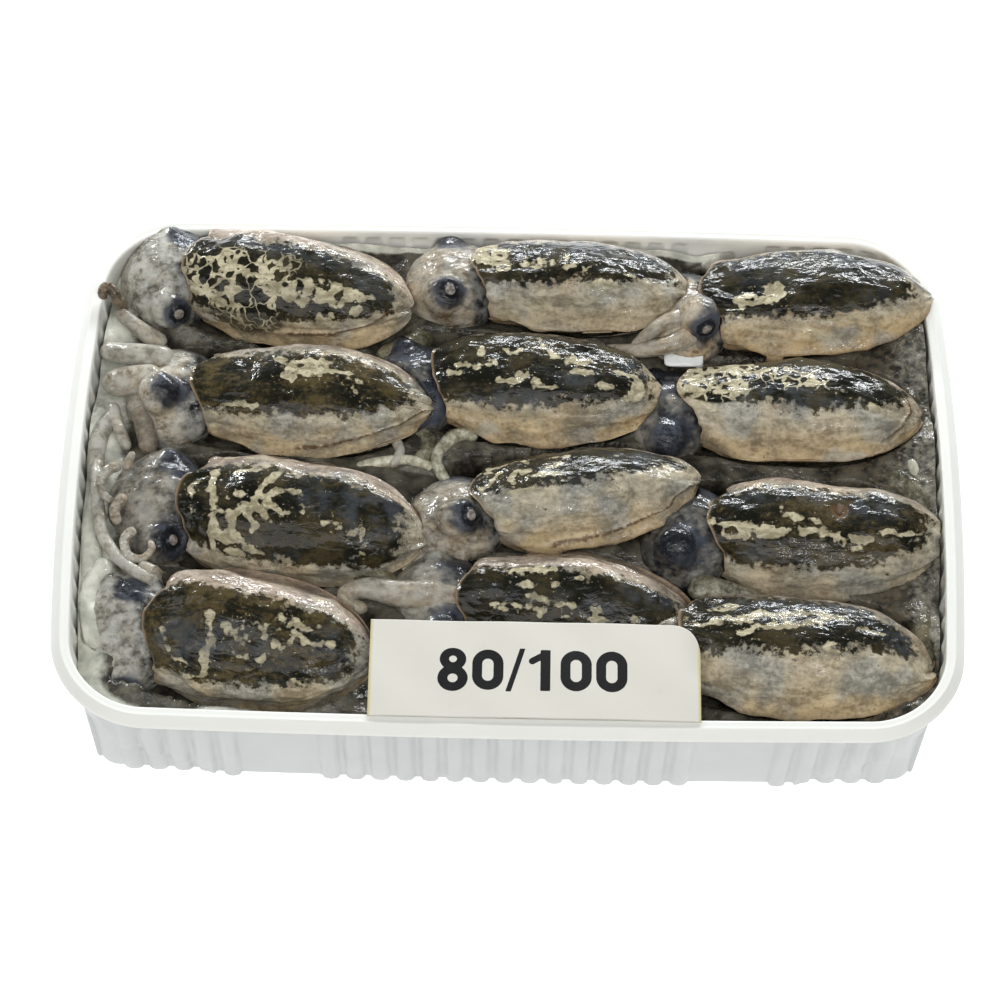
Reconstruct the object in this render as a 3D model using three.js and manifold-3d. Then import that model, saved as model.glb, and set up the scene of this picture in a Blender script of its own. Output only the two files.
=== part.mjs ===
// A ribbed plastic tray packed with whole raw cuttlefish, with a paper size label laid on the front row.
//
// Frame: millimetres, +Z up, origin in the middle of the tray's base. The animals lie in rows along X,
// heads towards -X and tails towards +X, and +Y is the back of the tray.
//
// Each animal is one solid: a mantle with its fin seam and its front lobe, a head with two eyes, and
// the arms. Soft bodies press on each other, so a piece is cut back by the grown form of each piece
// that lies on it, which leaves a fine gap between the two.

import * as THREE from "three";
import { mergeVertices } from "three/addons/utils/BufferGeometryUtils.js";
import Module from "manifold-3d";

const wasm = await Module();
wasm.setup();

// ---- Driving dimensions, in millimetres ----

const TRAY = {
  length: 300, // over the rim, at the middle of the short sides
  depth: 200, // over the rim, at the middle of the long sides
  height: 54,
  cornerRadius: 30, // at the rim's outer edge
  baseRadius: 7, // at the foot of the walls
  sideBow: 5.5, // how far the short sides bulge
  frontBow: 2, // how far the long sides bulge
  rimSlope: 3, // width and drop of the sloping outer band of the rim
  rimFlat: 3.5, // width of its level inner band
  draft: 4, // how far the walls lean in towards the base
  wall: 0.9,
  foot: 3, // bevel where the inner walls meet the base
};
const RIM_WIDTH = TRAY.rimSlope + TRAY.rimFlat;

const RIB = {
  pitch: 8.25,
  width: 5.8,
  reach: 1.7, // how far a rib stands out of the wall
  middle: 15, // ribs in the middle group of a long side
  corner: 5, // ribs in the group by each of its corners
  cornerOffset: 107, // from the middle of the side to the middle of a corner group
  shortSide: 17,
};

const GAP = 0.35; // left between touching pieces
const BED = { floor: TRAY.wall + GAP, level: 41, rise: 0.045, lump: 1.2, clearance: 3 };
const FIN = { reach: 3, angle: -9, spread: 7, from: 0.06 }; // angles in degrees
const THROAT = 4.5; // how deep the mantle's open front falls in round the neck
const HEAD = { out: 8, long: 17, wide: 0.43, high: 0.43 }; // wide and high as shares of the mantle
const EYE = { radius: 7.5, side: 0.31, up: 4.5 };
const ARM = { count: 3, root: 6.2, tip: 2.2, spread: 0.24 };

const LABEL = {
  length: 106,
  depth: 33.5,
  thickness: 0.6,
  centre: [8.8, -77.7, 0],
  lowZ: 54.8, // over the front rim
  highZ: 56.5, // on the front row's backs
  cornerCut: 9,
};

const CHIP = { length: 15, depth: 5.5, thickness: 1.6, centre: [58.5, 46.5, 48], tilt: 12 };

// Every animal: where the middle of its mantle lies, how it is turned, and its size. yaw turns the tail
// to the back of the tray, pitch lifts the tail, and roll turns the back towards the front wall. bend
// and droop turn the head from the mantle's line, and gaze rolls it, the nearer eye up. eye is how far
// the eyes lie before the mantle's edge, and arms is the arms' length.
const ANIMALS = [
  { name: "cuttlefish_1a", at: [-74, 71, 50], yaw: -11, pitch: 2, roll: 8, size: [80, 43, 28],
    bend: 14, droop: 14, gaze: 0, eye: 5, arms: 18 },
  { name: "cuttlefish_1b", at: [24, 73.5, 51], yaw: -4, pitch: 3, roll: -12, size: [74, 40, 27],
    bend: 2, droop: 6, gaze: 8, eye: 10, arms: 22 },
  { name: "cuttlefish_1c", at: [105, 70, 50], yaw: 2, pitch: 5, roll: -14, size: [79, 44, 28],
    bend: 11, droop: 8, gaze: 20, eye: 3, arms: 30 },
  { name: "cuttlefish_2a", at: [-67, 27.5, 47], yaw: -4, pitch: 3, roll: -4, size: [81, 42, 28],
    bend: 0, droop: 8, gaze: 38, eye: 9, arms: 18 },
  { name: "cuttlefish_2b", at: [12, 33.5, 47], yaw: -5, pitch: 3, roll: -8, size: [79, 43, 28],
    bend: 10, droop: 16, gaze: 0, eye: 8, arms: 12 },
  { name: "cuttlefish_2c", at: [99, 27, 46.5], yaw: -4, pitch: 4, roll: -10, size: [81, 41, 28],
    bend: 14, droop: 16, gaze: 0, eye: 8, arms: 20 },
  { name: "cuttlefish_3a", at: [-69, -18.5, 45], yaw: -8, pitch: 2, roll: 8, size: [82, 46, 29],
    bend: 4, droop: 8, gaze: 0, eye: 5, arms: 20 },
  { name: "cuttlefish_3b", at: [26, -7.5, 46.5], yaw: 7, pitch: 5, roll: -18, size: [75, 40, 27],
    bend: 10, droop: 8, gaze: 25, eye: 7, arms: 24 },
  { name: "cuttlefish_3c", at: [105, -20.5, 45], yaw: -2, pitch: 2, roll: 0, size: [77, 43, 28],
    bend: 4, droop: 10, gaze: 30, eye: 10, arms: 24 },
  { name: "cuttlefish_4a", at: [-80, -62, 42], yaw: -9, pitch: 2, roll: 18, size: [76, 47, 28],
    bend: 16, droop: 12, gaze: 0, eye: 8, arms: 12 },
  { name: "cuttlefish_4b", at: [23, -48, 41.5], yaw: -5, pitch: 2, roll: 14, size: [77, 40, 27],
    bend: 10, droop: 8, gaze: 15, eye: 6, arms: 26 },
  { name: "cuttlefish_4c", at: [98, -64, 42], yaw: -7, pitch: 2, roll: -10, size: [83, 46, 30],
    bend: 6, droop: 12, gaze: 0, eye: 8, arms: 22 },
];

// Where the layer below rises to show in a gap: x, y, reach and height.
const MOUNDS = [
  [-140, 10, 22, 3],
  [-134, -40, 16, 3],
  [-128, -84, 18, 6],
  [-92, -94, 20, 6],
  [-50, -94, 16, 5],
  [142, 52, 18, 6],
  [142, 12, 18, 6],
  [142, -26, 18, 6],
  [136, -60, 16, 6],
  [128, -88, 18, 6],
];

// Loose tentacles of the layer below, which show in the gaps: each is a path and a radius.
const TENTACLES = [
  { path: [[-135, 18, 41], [-135, -4, 44], [-132, -26, 44], [-122, -42, 43], [-108, -47, 39]], radius: 2.6 },
  { path: [[-131, 36, 42], [-128, 22, 43], [-124, 8, 41]], radius: 2.4 },
  { path: [[-122, 34, 41], [-117, 22, 43], [-114, 9, 41]], radius: 4.2 },
  { path: [[-50, 3.5, 40], [-38, 4, 42], [-24, 5, 41]], radius: 2.2 },
  { path: [[-14, 17, 40], [-22, 14, 43], [-25, 6, 43], [-20, -3, 41]], radius: 2.2 },
];

// ---- Helpers ----

const radians = THREE.MathUtils.degToRad;
const { smoothstep } = THREE.MathUtils;

/** A closed surface through rings of equally many points, ended by a point at each end. */
function loft(rings, first, last) {
  const count = rings[0].length;
  const points = [...rings.flat(), first, last];
  const [start, end] = [points.length - 2, points.length - 1];
  const index = [];
  for (let j = 0; j < count; j++) {
    const k = (j + 1) % count;
    index.push(start, k, j);
    for (let i = 0; i + 1 < rings.length; i++) {
      const [a, b] = [i * count, (i + 1) * count];
      index.push(a + j, a + k, b + k, a + j, b + k, b + j);
    }
    const z = (rings.length - 1) * count;
    index.push(z + j, z + k, end);
  }
  return new THREE.BufferGeometry().setFromPoints(points).setIndex(index);
}

/** A three.js geometry as a manifold-3d solid. */
function solid(geometry) {
  geometry.deleteAttribute("normal");
  geometry.deleteAttribute("uv");
  const merged = mergeVertices(geometry, 1e-4);
  const made = new wasm.Manifold(
    new wasm.Mesh({
      numProp: 3,
      vertProperties: merged.attributes.position.array,
      triVerts: new Uint32Array(merged.index.array),
    }),
  );
  return made;
}

/** A manifold-3d solid as a named mesh. */
function meshOf(name, made, material) {
  const data = made.getMesh();
  const geometry = new THREE.BufferGeometry()
    .setAttribute("position", new THREE.BufferAttribute(new Float32Array(data.vertProperties), 3))
    .setIndex(new THREE.BufferAttribute(new Uint32Array(data.triVerts), 1));
  geometry.computeVertexNormals();
  const mesh = new THREE.Mesh(geometry, material);
  mesh.name = name;
  return mesh;
}

/** The largest separate body of a solid: scraps that a cut leaves loose are dropped. */
function largest(made) {
  return made.decompose().reduce((a, b) => (a.volume() > b.volume() ? a : b));
}

function union(parts) {
  return parts.reduce((a, b) => a.add(b));
}

/** A soft tube along a smooth path, its radius running from root to tip. */
function tube(path, root, tip, sides, steps) {
  const curve = new THREE.CatmullRomCurve3(path);
  const frames = curve.computeFrenetFrames(steps);
  const rings = [];
  for (let i = 0; i <= steps; i++) {
    const radius = root + (tip - root) * (i / steps);
    const centre = curve.getPointAt(i / steps);
    const ring = [];
    for (let j = 0; j < sides; j++) {
      const a = (2 * Math.PI * j) / sides;
      ring.push(
        centre
          .clone()
          .addScaledVector(frames.normals[i], radius * Math.cos(a))
          .addScaledVector(frames.binormals[i], radius * Math.sin(a)),
      );
    }
    rings.push(ring);
  }
  const start = path[0].clone().addScaledVector(frames.tangents[0], -root * 0.5);
  const end = path.at(-1).clone().addScaledVector(frames.tangents[steps], tip * 0.8);
  return solid(loft(rings, start, end));
}

// ---- Tray ----

/** The tray's outline seen from above: a rounded rectangle with bowed sides, inset all round. */
function outline(inset, radius, perCorner = 4, perSide = 4) {
  const [halfX, halfY] = [TRAY.length / 2 - inset - radius, TRAY.depth / 2 - inset - radius];
  const corners = [
    [halfX, -halfY, -90],
    [halfX, halfY, 0],
    [-halfX, halfY, 90],
    [-halfX, -halfY, 180],
  ];
  const arcs = corners.map(([x, y, from]) =>
    Array.from({ length: perCorner + 1 }, (_, i) => {
      const a = radians(from + (90 * i) / perCorner);
      return new THREE.Vector2(x + radius * Math.cos(a), y + radius * Math.sin(a));
    }),
  );
  const points = arcs.flatMap((arc, i) => {
    const next = arcs[(i + 1) % arcs.length][0];
    const side = Array.from({ length: perSide - 1 }, (_, k) => arc.at(-1).clone().lerp(next, (k + 1) / perSide));
    return [...arc, ...side];
  });
  return points.map(bowed);
}

/** Moves a point of the plain rounded rectangle to the bowed one. */
function bowed(p) {
  const [u, v] = [(2 * p.x) / TRAY.length, (2 * p.y) / TRAY.depth];
  return new THREE.Vector2(
    p.x * (1 - ((2 * TRAY.sideBow) / TRAY.length) * v * v),
    p.y * (1 - ((2 * TRAY.frontBow) / TRAY.depth) * u * u),
  );
}

function ringAt(inset, radius, z) {
  return outline(inset, radius).map((p) => new THREE.Vector3(p.x, p.y, z));
}

/** A ring of the wall's inner face at height z, moved inwards by shift, or outwards where it is negative. */
function wallRing(z, shift) {
  const share = z / TRAY.height;
  const radius = THREE.MathUtils.lerp(TRAY.baseRadius, TRAY.cornerRadius - RIM_WIDTH, share);
  return ringAt(RIM_WIDTH + TRAY.draft * (1 - share) + shift, radius - shift * 0.5, z);
}

function trayShell() {
  const { height, wall, rimSlope, rimFlat, cornerRadius, foot } = TRAY;
  const rimRing = (inset, z) => ringAt(inset, cornerRadius - inset, z);
  const lip = height - rimSlope;
  const under = height - wall;
  const inner = wallRing(0, foot).map((p) => p.setZ(wall));
  const rings = [
    wallRing(0, -wall),
    wallRing(under, -wall),
    rimRing(rimSlope + 0.3, under),
    rimRing(wall, lip),
    rimRing(0, lip),
    rimRing(rimSlope, height),
    rimRing(rimSlope + rimFlat - 0.6, height),
    wallRing(height - 1, 0),
    wallRing(foot, 0),
    inner,
  ];
  return solid(loft(rings, new THREE.Vector3(0, 0, 0), new THREE.Vector3(0, 0, wall)));
}

/** One upright rib, standing at the origin with its back in the wall and facing -Y. */
function ribSolid() {
  const sunk = TRAY.wall * 0.5;
  const section = new THREE.Shape([
    new THREE.Vector2(-RIB.width / 2, sunk),
    new THREE.Vector2(-RIB.width / 4, -RIB.reach),
    new THREE.Vector2(RIB.width / 4, -RIB.reach),
    new THREE.Vector2(RIB.width / 2, sunk),
  ]);
  return new THREE.ExtrudeGeometry(section, {
    depth: TRAY.height - TRAY.wall * 0.5,
    bevelEnabled: false,
  });
}

/** Evenly spaced places about a centre. */
function spaced(count, centre) {
  return Array.from({ length: count }, (_, i) => centre + (i - (count - 1) / 2) * RIB.pitch);
}

/** Sets a rib against a side wall: side 0 is the front, and the others follow round to the left. */
function rib(side, along) {
  const short = side % 2 === 1;
  const lean = TRAY.draft / TRAY.height;
  const half = (short ? TRAY.length : TRAY.depth) / 2 - RIM_WIDTH - TRAY.draft + TRAY.wall;
  const share = along / ((short ? TRAY.depth : TRAY.length) / 2);
  const bow = (short ? TRAY.sideBow : TRAY.frontBow) * share * share;
  const slope = new THREE.Matrix4().makeShear(0, 0, 0, 0, 0, -lean);
  const geometry = ribSolid().applyMatrix4(slope);
  geometry.translate(along, bow - half, 0).rotateZ((side * Math.PI) / 2);
  return solid(geometry);
}

function ribs() {
  const { middle, corner, cornerOffset, shortSide } = RIB;
  const long = [...spaced(corner, -cornerOffset), ...spaced(middle, 0), ...spaced(corner, cornerOffset)];
  const short = spaced(shortSide, 0);
  return [0, 1, 2, 3].flatMap((side) => (side % 2 ? short : long).map((along) => rib(side, along)));
}

/** The room inside the tray up to its rim, as a solid. */
function trayRoom(shrink) {
  const top = TRAY.height + 0.5;
  const floorRing = wallRing(0, TRAY.foot + shrink).map((p) => p.setZ(BED.floor));
  const rings = [floorRing, wallRing(TRAY.foot + 1, shrink), wallRing(top, shrink)];
  return solid(loft(rings, new THREE.Vector3(0, 0, BED.floor), new THREE.Vector3(0, 0, top)));
}

/** What an animal may not enter: the tray's walls and rim, with a fine gap. */
function keepOut() {
  const block = new THREE.BoxGeometry(TRAY.length * 1.4, TRAY.depth * 1.5, TRAY.height + GAP);
  block.translate(0, 0, (TRAY.height + GAP) / 2);
  return solid(block).subtract(trayRoom(GAP));
}

// ---- Cuttlefish ----

/** Share of the full width at u, from 0 at the front edge to 1 at the tail. */
function widthShare(u) {
  const widest = 0.36;
  if (u < widest) return 1 - 0.16 * ((widest - u) / widest) ** 2;
  return (1 - ((u - widest) / (1 - widest)) ** 2.6) ** 0.55;
}

/** Share of the full thickness at u. */
function thicknessShare(u) {
  const thickest = 0.42;
  if (u < thickest) return 1 - 0.2 * ((thickest - u) / thickest) ** 2;
  return (1 - ((u - thickest) / (1 - thickest)) ** 2.7) ** 0.6;
}

/** How far the front edge lies behind its foremost point, by angle round the mantle: the back's middle
 * reaches forward over the head, and the belly's edge is cut back. */
function setback(angle, length) {
  const off = (angle - 90) / 34;
  const under = (angle + 90) / 50;
  return length * (0.07 - 0.085 * Math.exp(-off * off) + 0.05 * Math.exp(-under * under));
}

/** A point of the mantle's skin. angle is in degrees: 0 is the left side, 90 the back. */
function mantlePoint([length, width, thickness], u, angle, grow) {
  const turn = angle > 90 ? 180 - angle : angle; // both sides alike
  const a = radians(angle);
  const squareness = 0.86;
  const [c, s] = [Math.cos(a), Math.sin(a)];
  const finShare = Math.exp(-(((turn - FIN.angle) / FIN.spread) ** 2));
  const fin = FIN.reach * finShare * smoothstep(u, FIN.from, 0.3) * (1 - 0.5 * u ** 6);
  const half = (width / 2 - FIN.reach * 0.7) * widthShare(u) + grow;
  const high = thickness * (s > 0 ? 0.54 : 0.46) * thicknessShare(u) + grow;
  const front = (1 - u) ** 4;
  return new THREE.Vector3(
    length * (u - 0.5) + setback(turn, length) * front + grow * (2 * u - 1),
    Math.sign(c) * (Math.abs(c) ** squareness * half + (u < 1 ? fin : 0)),
    Math.sign(s) * Math.abs(s) ** squareness * high - 0.3 * fin,
  );
}

/** The mantle. It is made finely, or coarsely where it only shapes the hollow that it lies in. */
function mantle(size, grow, fine = true) {
  const around = fine ? [-90, -52, -24, FIN.angle, 8, 34, 62] : [-90, -45, FIN.angle, 40];
  const angles = [...around, 90, ...around.slice(1).reverse().map((a) => 180 - a)];
  const along = fine ? [0, 0.07, 0.18, 0.34, 0.52, 0.7, 0.85, 0.955] : [0, 0.35, 0.7, 0.93];
  const rings = along.map((u) => angles.map((a) => mantlePoint(size, u, a, grow)));
  const throat = new THREE.Vector3(-size[0] * 0.43 + THROAT - grow, 0, 0);
  const tail = new THREE.Vector3(size[0] / 2 + grow, 0, -1);
  return solid(loft(rings, throat, tail));
}

function ellipsoid(radii, centre, sides, rows) {
  const geometry = new THREE.SphereGeometry(1, sides, rows);
  geometry.rotateZ(Math.PI / 2).scale(...radii).translate(...centre);
  return solid(geometry);
}

/** The head with its eyes and arms, in the mantle's frame before it is bent to its own line. */
function headParts({ size, arms, eye, gaze }, grow) {
  const [length, width, thickness] = size;
  const front = -length / 2;
  const head = ellipsoid(
    [HEAD.long + grow, width * HEAD.wide + grow, thickness * HEAD.high + grow],
    [front - HEAD.out, 0, -1],
    8,
    5,
  );
  const eyes = [-1, 1].map((side) => {
    const seat = new THREE.Vector3(front - eye, side * width * EYE.side, EYE.up);
    seat.applyAxisAngle(new THREE.Vector3(1, 0, 0), radians(-gaze));
    return ellipsoid(Array(3).fill(EYE.radius + grow), seat.toArray(), 6, 5);
  });
  const from = front - HEAD.out - HEAD.long * 0.55;
  const crown = Array.from({ length: ARM.count }, (_, k) => {
    const across = (k / (ARM.count - 1) - 0.5) * 2;
    const y = across * width * ARM.spread;
    const path = [
      new THREE.Vector3(from + 6, y * 0.6, -1),
      new THREE.Vector3(from - arms * 0.35, y * 0.85, -1 - Math.abs(across)),
      new THREE.Vector3(from - arms * 0.75, y * 0.75, -3),
      new THREE.Vector3(from - arms, y * 0.5, -6),
    ];
    return tube(path, ARM.root + grow, ARM.tip + grow, 5, 3);
  });
  return [head, ...eyes, ...crown];
}

/** The matrix that sets an animal down in the tray. */
function placement({ at, yaw, pitch, roll }) {
  const turn = new THREE.Euler(radians(roll), radians(-pitch), radians(yaw), "ZYX");
  return new THREE.Matrix4().makeRotationFromEuler(turn).setPosition(...at);
}

/** The matrix that bends the head from the mantle's line, about the neck. */
function neckTurn({ size, bend, droop }) {
  const neck = -size[0] / 2 + 4;
  return new THREE.Matrix4()
    .makeTranslation(neck, 0, 0)
    .multiply(new THREE.Matrix4().makeRotationZ(radians(bend)))
    .multiply(new THREE.Matrix4().makeRotationY(radians(-droop)))
    .multiply(new THREE.Matrix4().makeTranslation(-neck, 0, 0));
}

function animalSolid(animal, grow = 0) {
  const head = union(headParts(animal, grow)).transform(neckTurn(animal).elements);
  return mantle(animal.size, grow).add(head).transform(placement(animal).elements);
}

/** A coarse body round a whole animal, for the hollow that it lies in. */
function animalHollow(animal) {
  const { size, arms } = animal;
  const [length, width, thickness] = size;
  const front = -length / 2;
  const clear = BED.clearance;
  const reach = HEAD.out + HEAD.long * 0.6 + arms;
  const head = ellipsoid(
    [reach / 2 + 14, width * HEAD.wide + clear * 2, thickness * HEAD.high + clear * 2],
    [front - reach / 2 + 7, 0, -2.5],
    6,
    4,
  );
  return mantle([length, width * 1.05, thickness * 1.08], clear, false)
    .add(head.transform(neckTurn(animal).elements))
    .transform(placement(animal).elements);
}

// ---- Bed: the layer below, frozen into one mass ----

/** The lumpy top of the bed, which rises to the back row and to mounds in the gaps. */
function bedHeight(x, y) {
  const lumps = Math.sin(x * 0.11 + 1.3) * Math.cos(y * 0.17 + 0.4) + 0.6 * Math.sin(x * 0.23 - y * 0.19);
  const mounds = MOUNDS.map(
    ([mx, my, reach, high]) => high * Math.exp(-(((x - mx) ** 2 + (y - my) ** 2) / (reach * reach))),
  );
  return BED.level + BED.rise * y + BED.lump * lumps + Math.max(0, ...mounds);
}

function bedSolid() {
  const rim = wallRing(BED.level, GAP);
  const shares = [1, 0.93, 0.8, 0.62, 0.42, 0.2];
  const top = shares.map((share) =>
    rim.map((p) => new THREE.Vector3(p.x * share, p.y * share, bedHeight(p.x * share, p.y * share))),
  );
  const low = wallRing(0, TRAY.foot + GAP).map((p) => p.setZ(BED.floor));
  const side = wallRing(TRAY.foot + 1, GAP);
  const floor = new THREE.Vector3(0, 0, BED.floor);
  return solid(loft([low, side, ...top], floor, new THREE.Vector3(0, 0, bedHeight(0, 0))));
}

function tentacleSolid({ path, radius }) {
  const points = path.map((p) => new THREE.Vector3(...p));
  return tube(points, radius, radius * 0.8, 6, 3 * (path.length - 1));
}

// ---- Label and chip ----

/** The paper label: a thin slab with one clipped corner, sloping up from the rim to the front row. */
function labelSolid(grow = 0) {
  const { length, depth, thickness, centre, lowZ, highZ, cornerCut } = LABEL;
  const [x, y] = [length / 2 + grow, depth / 2 + grow];
  const corner = new THREE.Shape();
  corner.moveTo(-x, -y);
  corner.lineTo(x, -y);
  corner.lineTo(x, y - cornerCut * 1.2);
  corner.quadraticCurveTo(x - 1, y - cornerCut * 0.3, x - cornerCut, y);
  corner.lineTo(-x, y);
  const geometry = new THREE.ExtrudeGeometry(corner, {
    depth: thickness + 2 * grow,
    bevelEnabled: false,
    curveSegments: 4,
  });
  geometry
    .translate(0, 0, -thickness / 2 - grow)
    .rotateX(Math.asin((highZ - lowZ) / depth))
    .translate(centre[0], centre[1], (lowZ + highZ) / 2);
  return solid(geometry);
}

/** The white chip between the second row's middle and right animals. */
function chipSolid(grow = 0) {
  const { length, depth, thickness, centre, tilt } = CHIP;
  const outlineShape = new THREE.Shape();
  outlineShape.moveTo(-length / 2 - grow, depth / 2 + grow);
  outlineShape.quadraticCurveTo(-length / 2.2, -depth / 2 - grow, 0, -depth / 2 - grow);
  outlineShape.quadraticCurveTo(length / 2.2, -depth / 2 - grow, length / 2 + grow, depth / 2 + grow);
  const geometry = new THREE.ExtrudeGeometry(outlineShape, {
    depth: thickness + 2 * grow,
    bevelEnabled: false,
    curveSegments: 4,
  });
  geometry.translate(0, 0, -grow).rotateX(radians(tilt)).translate(...centre);
  return solid(geometry);
}

// ---- Materials ----

const skin = (colour, roughness) =>
  new THREE.MeshStandardMaterial({ color: colour, roughness, metalness: 0 });
const plastic = skin(0xe9e9e0, 0.35);
const flesh = skin(0x6f6353, 0.25);
const glaze = skin(0x5d6058, 0.2);
const paper = skin(0xeeeadb, 0.7);
const white = skin(0xe6e8e4, 0.35);

// ---- Assembly ----

const group = new THREE.Group();
const walls = keepOut();
const label = labelSolid();
const chip = chipSolid();

// Nearer rows lie on those behind them, and in a row each tail lies on the next animal's arms.
const order = [...ANIMALS].sort((a, b) => b.name[11] - a.name[11] || a.name.localeCompare(b.name));
const lying = [labelSolid(GAP), chipSolid(GAP)];
const bodies = new Map();
for (const animal of order) {
  const cut = lying.reduce((body, above) => body.subtract(above), animalSolid(animal).subtract(walls));
  bodies.set(animal.name, largest(cut));
  lying.push(animalSolid(animal, GAP));
}

const layer = union([bedSolid(), ...TENTACLES.map(tentacleSolid)]).intersect(trayRoom(GAP));
const hollowed = ANIMALS.map(animalHollow).reduce((body, hollow) => body.subtract(hollow), layer);
const touching = lying.filter((above) => hollowed.intersect(above).volume() > 0);
const bed = touching.reduce((body, above) => body.subtract(above), hollowed);

group.add(meshOf("tray", union([trayShell(), ...ribs()]), plastic));
group.add(meshOf("bed", largest(bed), glaze));
for (const { name } of ANIMALS) group.add(meshOf(name, bodies.get(name), flesh));
group.add(meshOf("label", label, paper));
group.add(meshOf("chip", chip, white));

export default group;
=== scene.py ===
# %% [markdown]
# # A tray of whole raw cuttlefish
# The real thing is a thin ribbed plastic tray, packed with two layers of small cuttlefish in their own
# frozen juice. Twelve show on top, heads to the left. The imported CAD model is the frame: it says where
# each animal lies and how large it is. This lesson dresses that frame with fine meshes and procedural
# materials. All lengths in the shape functions are in millimetres, and only the last step turns them
# into Blender's metres.

# %% Load the frame
import math

import bpy
import numpy as np
from mathutils import Matrix, Vector


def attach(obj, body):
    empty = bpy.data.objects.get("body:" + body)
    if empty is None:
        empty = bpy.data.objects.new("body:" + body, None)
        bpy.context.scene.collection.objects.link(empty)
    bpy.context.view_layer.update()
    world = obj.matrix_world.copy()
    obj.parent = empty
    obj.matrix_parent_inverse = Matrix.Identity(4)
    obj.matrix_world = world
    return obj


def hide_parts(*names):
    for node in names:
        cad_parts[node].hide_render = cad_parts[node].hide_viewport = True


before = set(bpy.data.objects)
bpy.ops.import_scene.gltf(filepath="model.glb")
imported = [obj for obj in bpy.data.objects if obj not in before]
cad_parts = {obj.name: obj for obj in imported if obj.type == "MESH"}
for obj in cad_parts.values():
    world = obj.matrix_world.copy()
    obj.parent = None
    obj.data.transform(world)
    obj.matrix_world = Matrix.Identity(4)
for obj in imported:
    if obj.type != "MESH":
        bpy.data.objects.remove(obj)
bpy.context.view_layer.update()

MM = 0.001
TINY = 1e-6  # keeps a division from meeting nought

# %% [markdown]
# ## Camera
# The camera looks down at the front of the tray from about sixty degrees, with a long lens and a very
# slight roll. It is placed by its angles and its distance, which is easier to read than a matrix.

# %% Place the camera
CAMERA = {"target": (-3.4, -5.8, 40.0), "distance": 1000.0, "elevation": 59.6, "roll": 1.15,
          "lens": 107.1, "sensor": 36, "near_limit": 0.05}


def camera_axes():
    """The camera's right, up and back directions in the frame."""
    lift, roll = math.radians(CAMERA["elevation"]), math.radians(CAMERA["roll"])
    back = Vector((0, -math.cos(lift), math.sin(lift)))
    up = Vector((0, math.sin(lift), math.cos(lift)))
    side = Vector((1, 0, 0))
    right = math.cos(roll) * side + math.sin(roll) * up
    return right, back.cross(right), back


def place_camera():
    right, up, back = camera_axes()
    data = bpy.data.cameras.new("photo_camera")
    data.lens = CAMERA["lens"]
    data.sensor_width = CAMERA["sensor"]
    data.clip_start = CAMERA["near_limit"]
    camera = bpy.data.objects.new("photo_camera", data)
    place = Vector(CAMERA["target"]) + CAMERA["distance"] * back
    turn = Matrix((right, up, back)).transposed().to_4x4()
    camera.matrix_world = Matrix.Translation(place * MM) @ turn
    bpy.context.scene.collection.objects.link(camera)
    bpy.context.scene.camera = camera
    return camera


print("camera at", [round(v, 3) for v in place_camera().matrix_world.translation])

# %% [markdown]
# ## Light and floor
# Wet skin is shown by what it reflects. A long thin strip stands low behind the tray and draws broken
# white lines along the backs, and a small pane at the left adds a few more. The soft fill comes from one
# large dim box on the camera's side: hung behind, it would lie as a grey haze on the black backs. A small
# pane in front and a pale world do the rest. Places here are in metres.

# %% Lights, world and floor
DAYLIGHT = (0.95, 0.98, 1.0)
LAMP_WHITE = (1.0, 0.99, 0.97)
LIGHTS = {  # place, aim, size, power and colour
    "window_strip": ((0.16, 0.66, 0.31), (0.05, 0.02, 0.05), (0.62, 0.056), 5.7, DAYLIGHT),
    "left_pane": ((-0.42, 0.52, 0.30), (-0.08, 0.02, 0.05), (0.10, 0.08), 1.9, DAYLIGHT),
    "sky_box": ((-0.1, -0.75, 1.41), (0, 0, 0.03), (3.0, 1.04), 23.0, LAMP_WHITE),
    "front_pane": ((0.30, -0.75, 1.25), (0, 0, 0.05), (0.16, 0.10), 1.9, LAMP_WHITE),
}
ROOM = {"colour": (0.93, 0.96, 1.0, 1), "strength": 0.16}
FLOOR = {"half": 4.0, "drop": 0.0004, "white": (0.93, 0.93, 0.93, 1), "rough": 0.9, "glow": 0.42}


def area_light(name, place, aim, size, power, colour):
    data = bpy.data.lights.new(name, "AREA")
    data.shape = "RECTANGLE"
    data.size, data.size_y = size
    data.energy = power
    data.color = colour
    light = bpy.data.objects.new(name, data)
    direction = Vector(aim) - Vector(place)
    turn = direction.to_track_quat("-Z", "Y").to_matrix().to_4x4()
    light.matrix_world = Matrix.Translation(place) @ turn
    bpy.context.scene.collection.objects.link(light)
    return light


for light_name, settings in LIGHTS.items():
    area_light(light_name, *settings)


def plain_world():
    world = bpy.data.worlds.new("pale_room")
    world.use_nodes = True
    backdrop = world.node_tree.nodes["Background"]
    backdrop.inputs["Color"].default_value = ROOM["colour"]
    backdrop.inputs["Strength"].default_value = ROOM["strength"]
    bpy.context.scene.world = world


plain_world()
bpy.context.scene.view_settings.view_transform = "Standard"


def pale_floor():
    mesh = bpy.data.meshes.new("floor")
    half = FLOOR["half"]
    corners = [(-half, -half, 0), (half, -half, 0), (half, half, 0), (-half, half, 0)]
    mesh.from_pydata(corners, [], [(0, 1, 2, 3)])
    floor = bpy.data.objects.new("floor", mesh)
    floor.location.z = -FLOOR["drop"]
    bpy.context.scene.collection.objects.link(floor)
    material = bpy.data.materials.new("floor_white")
    material.use_nodes = True
    surface = material.node_tree.nodes["Principled BSDF"]
    surface.inputs["Base Color"].default_value = FLOOR["white"]
    surface.inputs["Roughness"].default_value = FLOOR["rough"]
    surface.inputs["Emission Color"].default_value = (1, 1, 1, 1)
    surface.inputs["Emission Strength"].default_value = FLOOR["glow"]
    mesh.materials.append(material)
    return floor


pale_floor()

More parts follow.
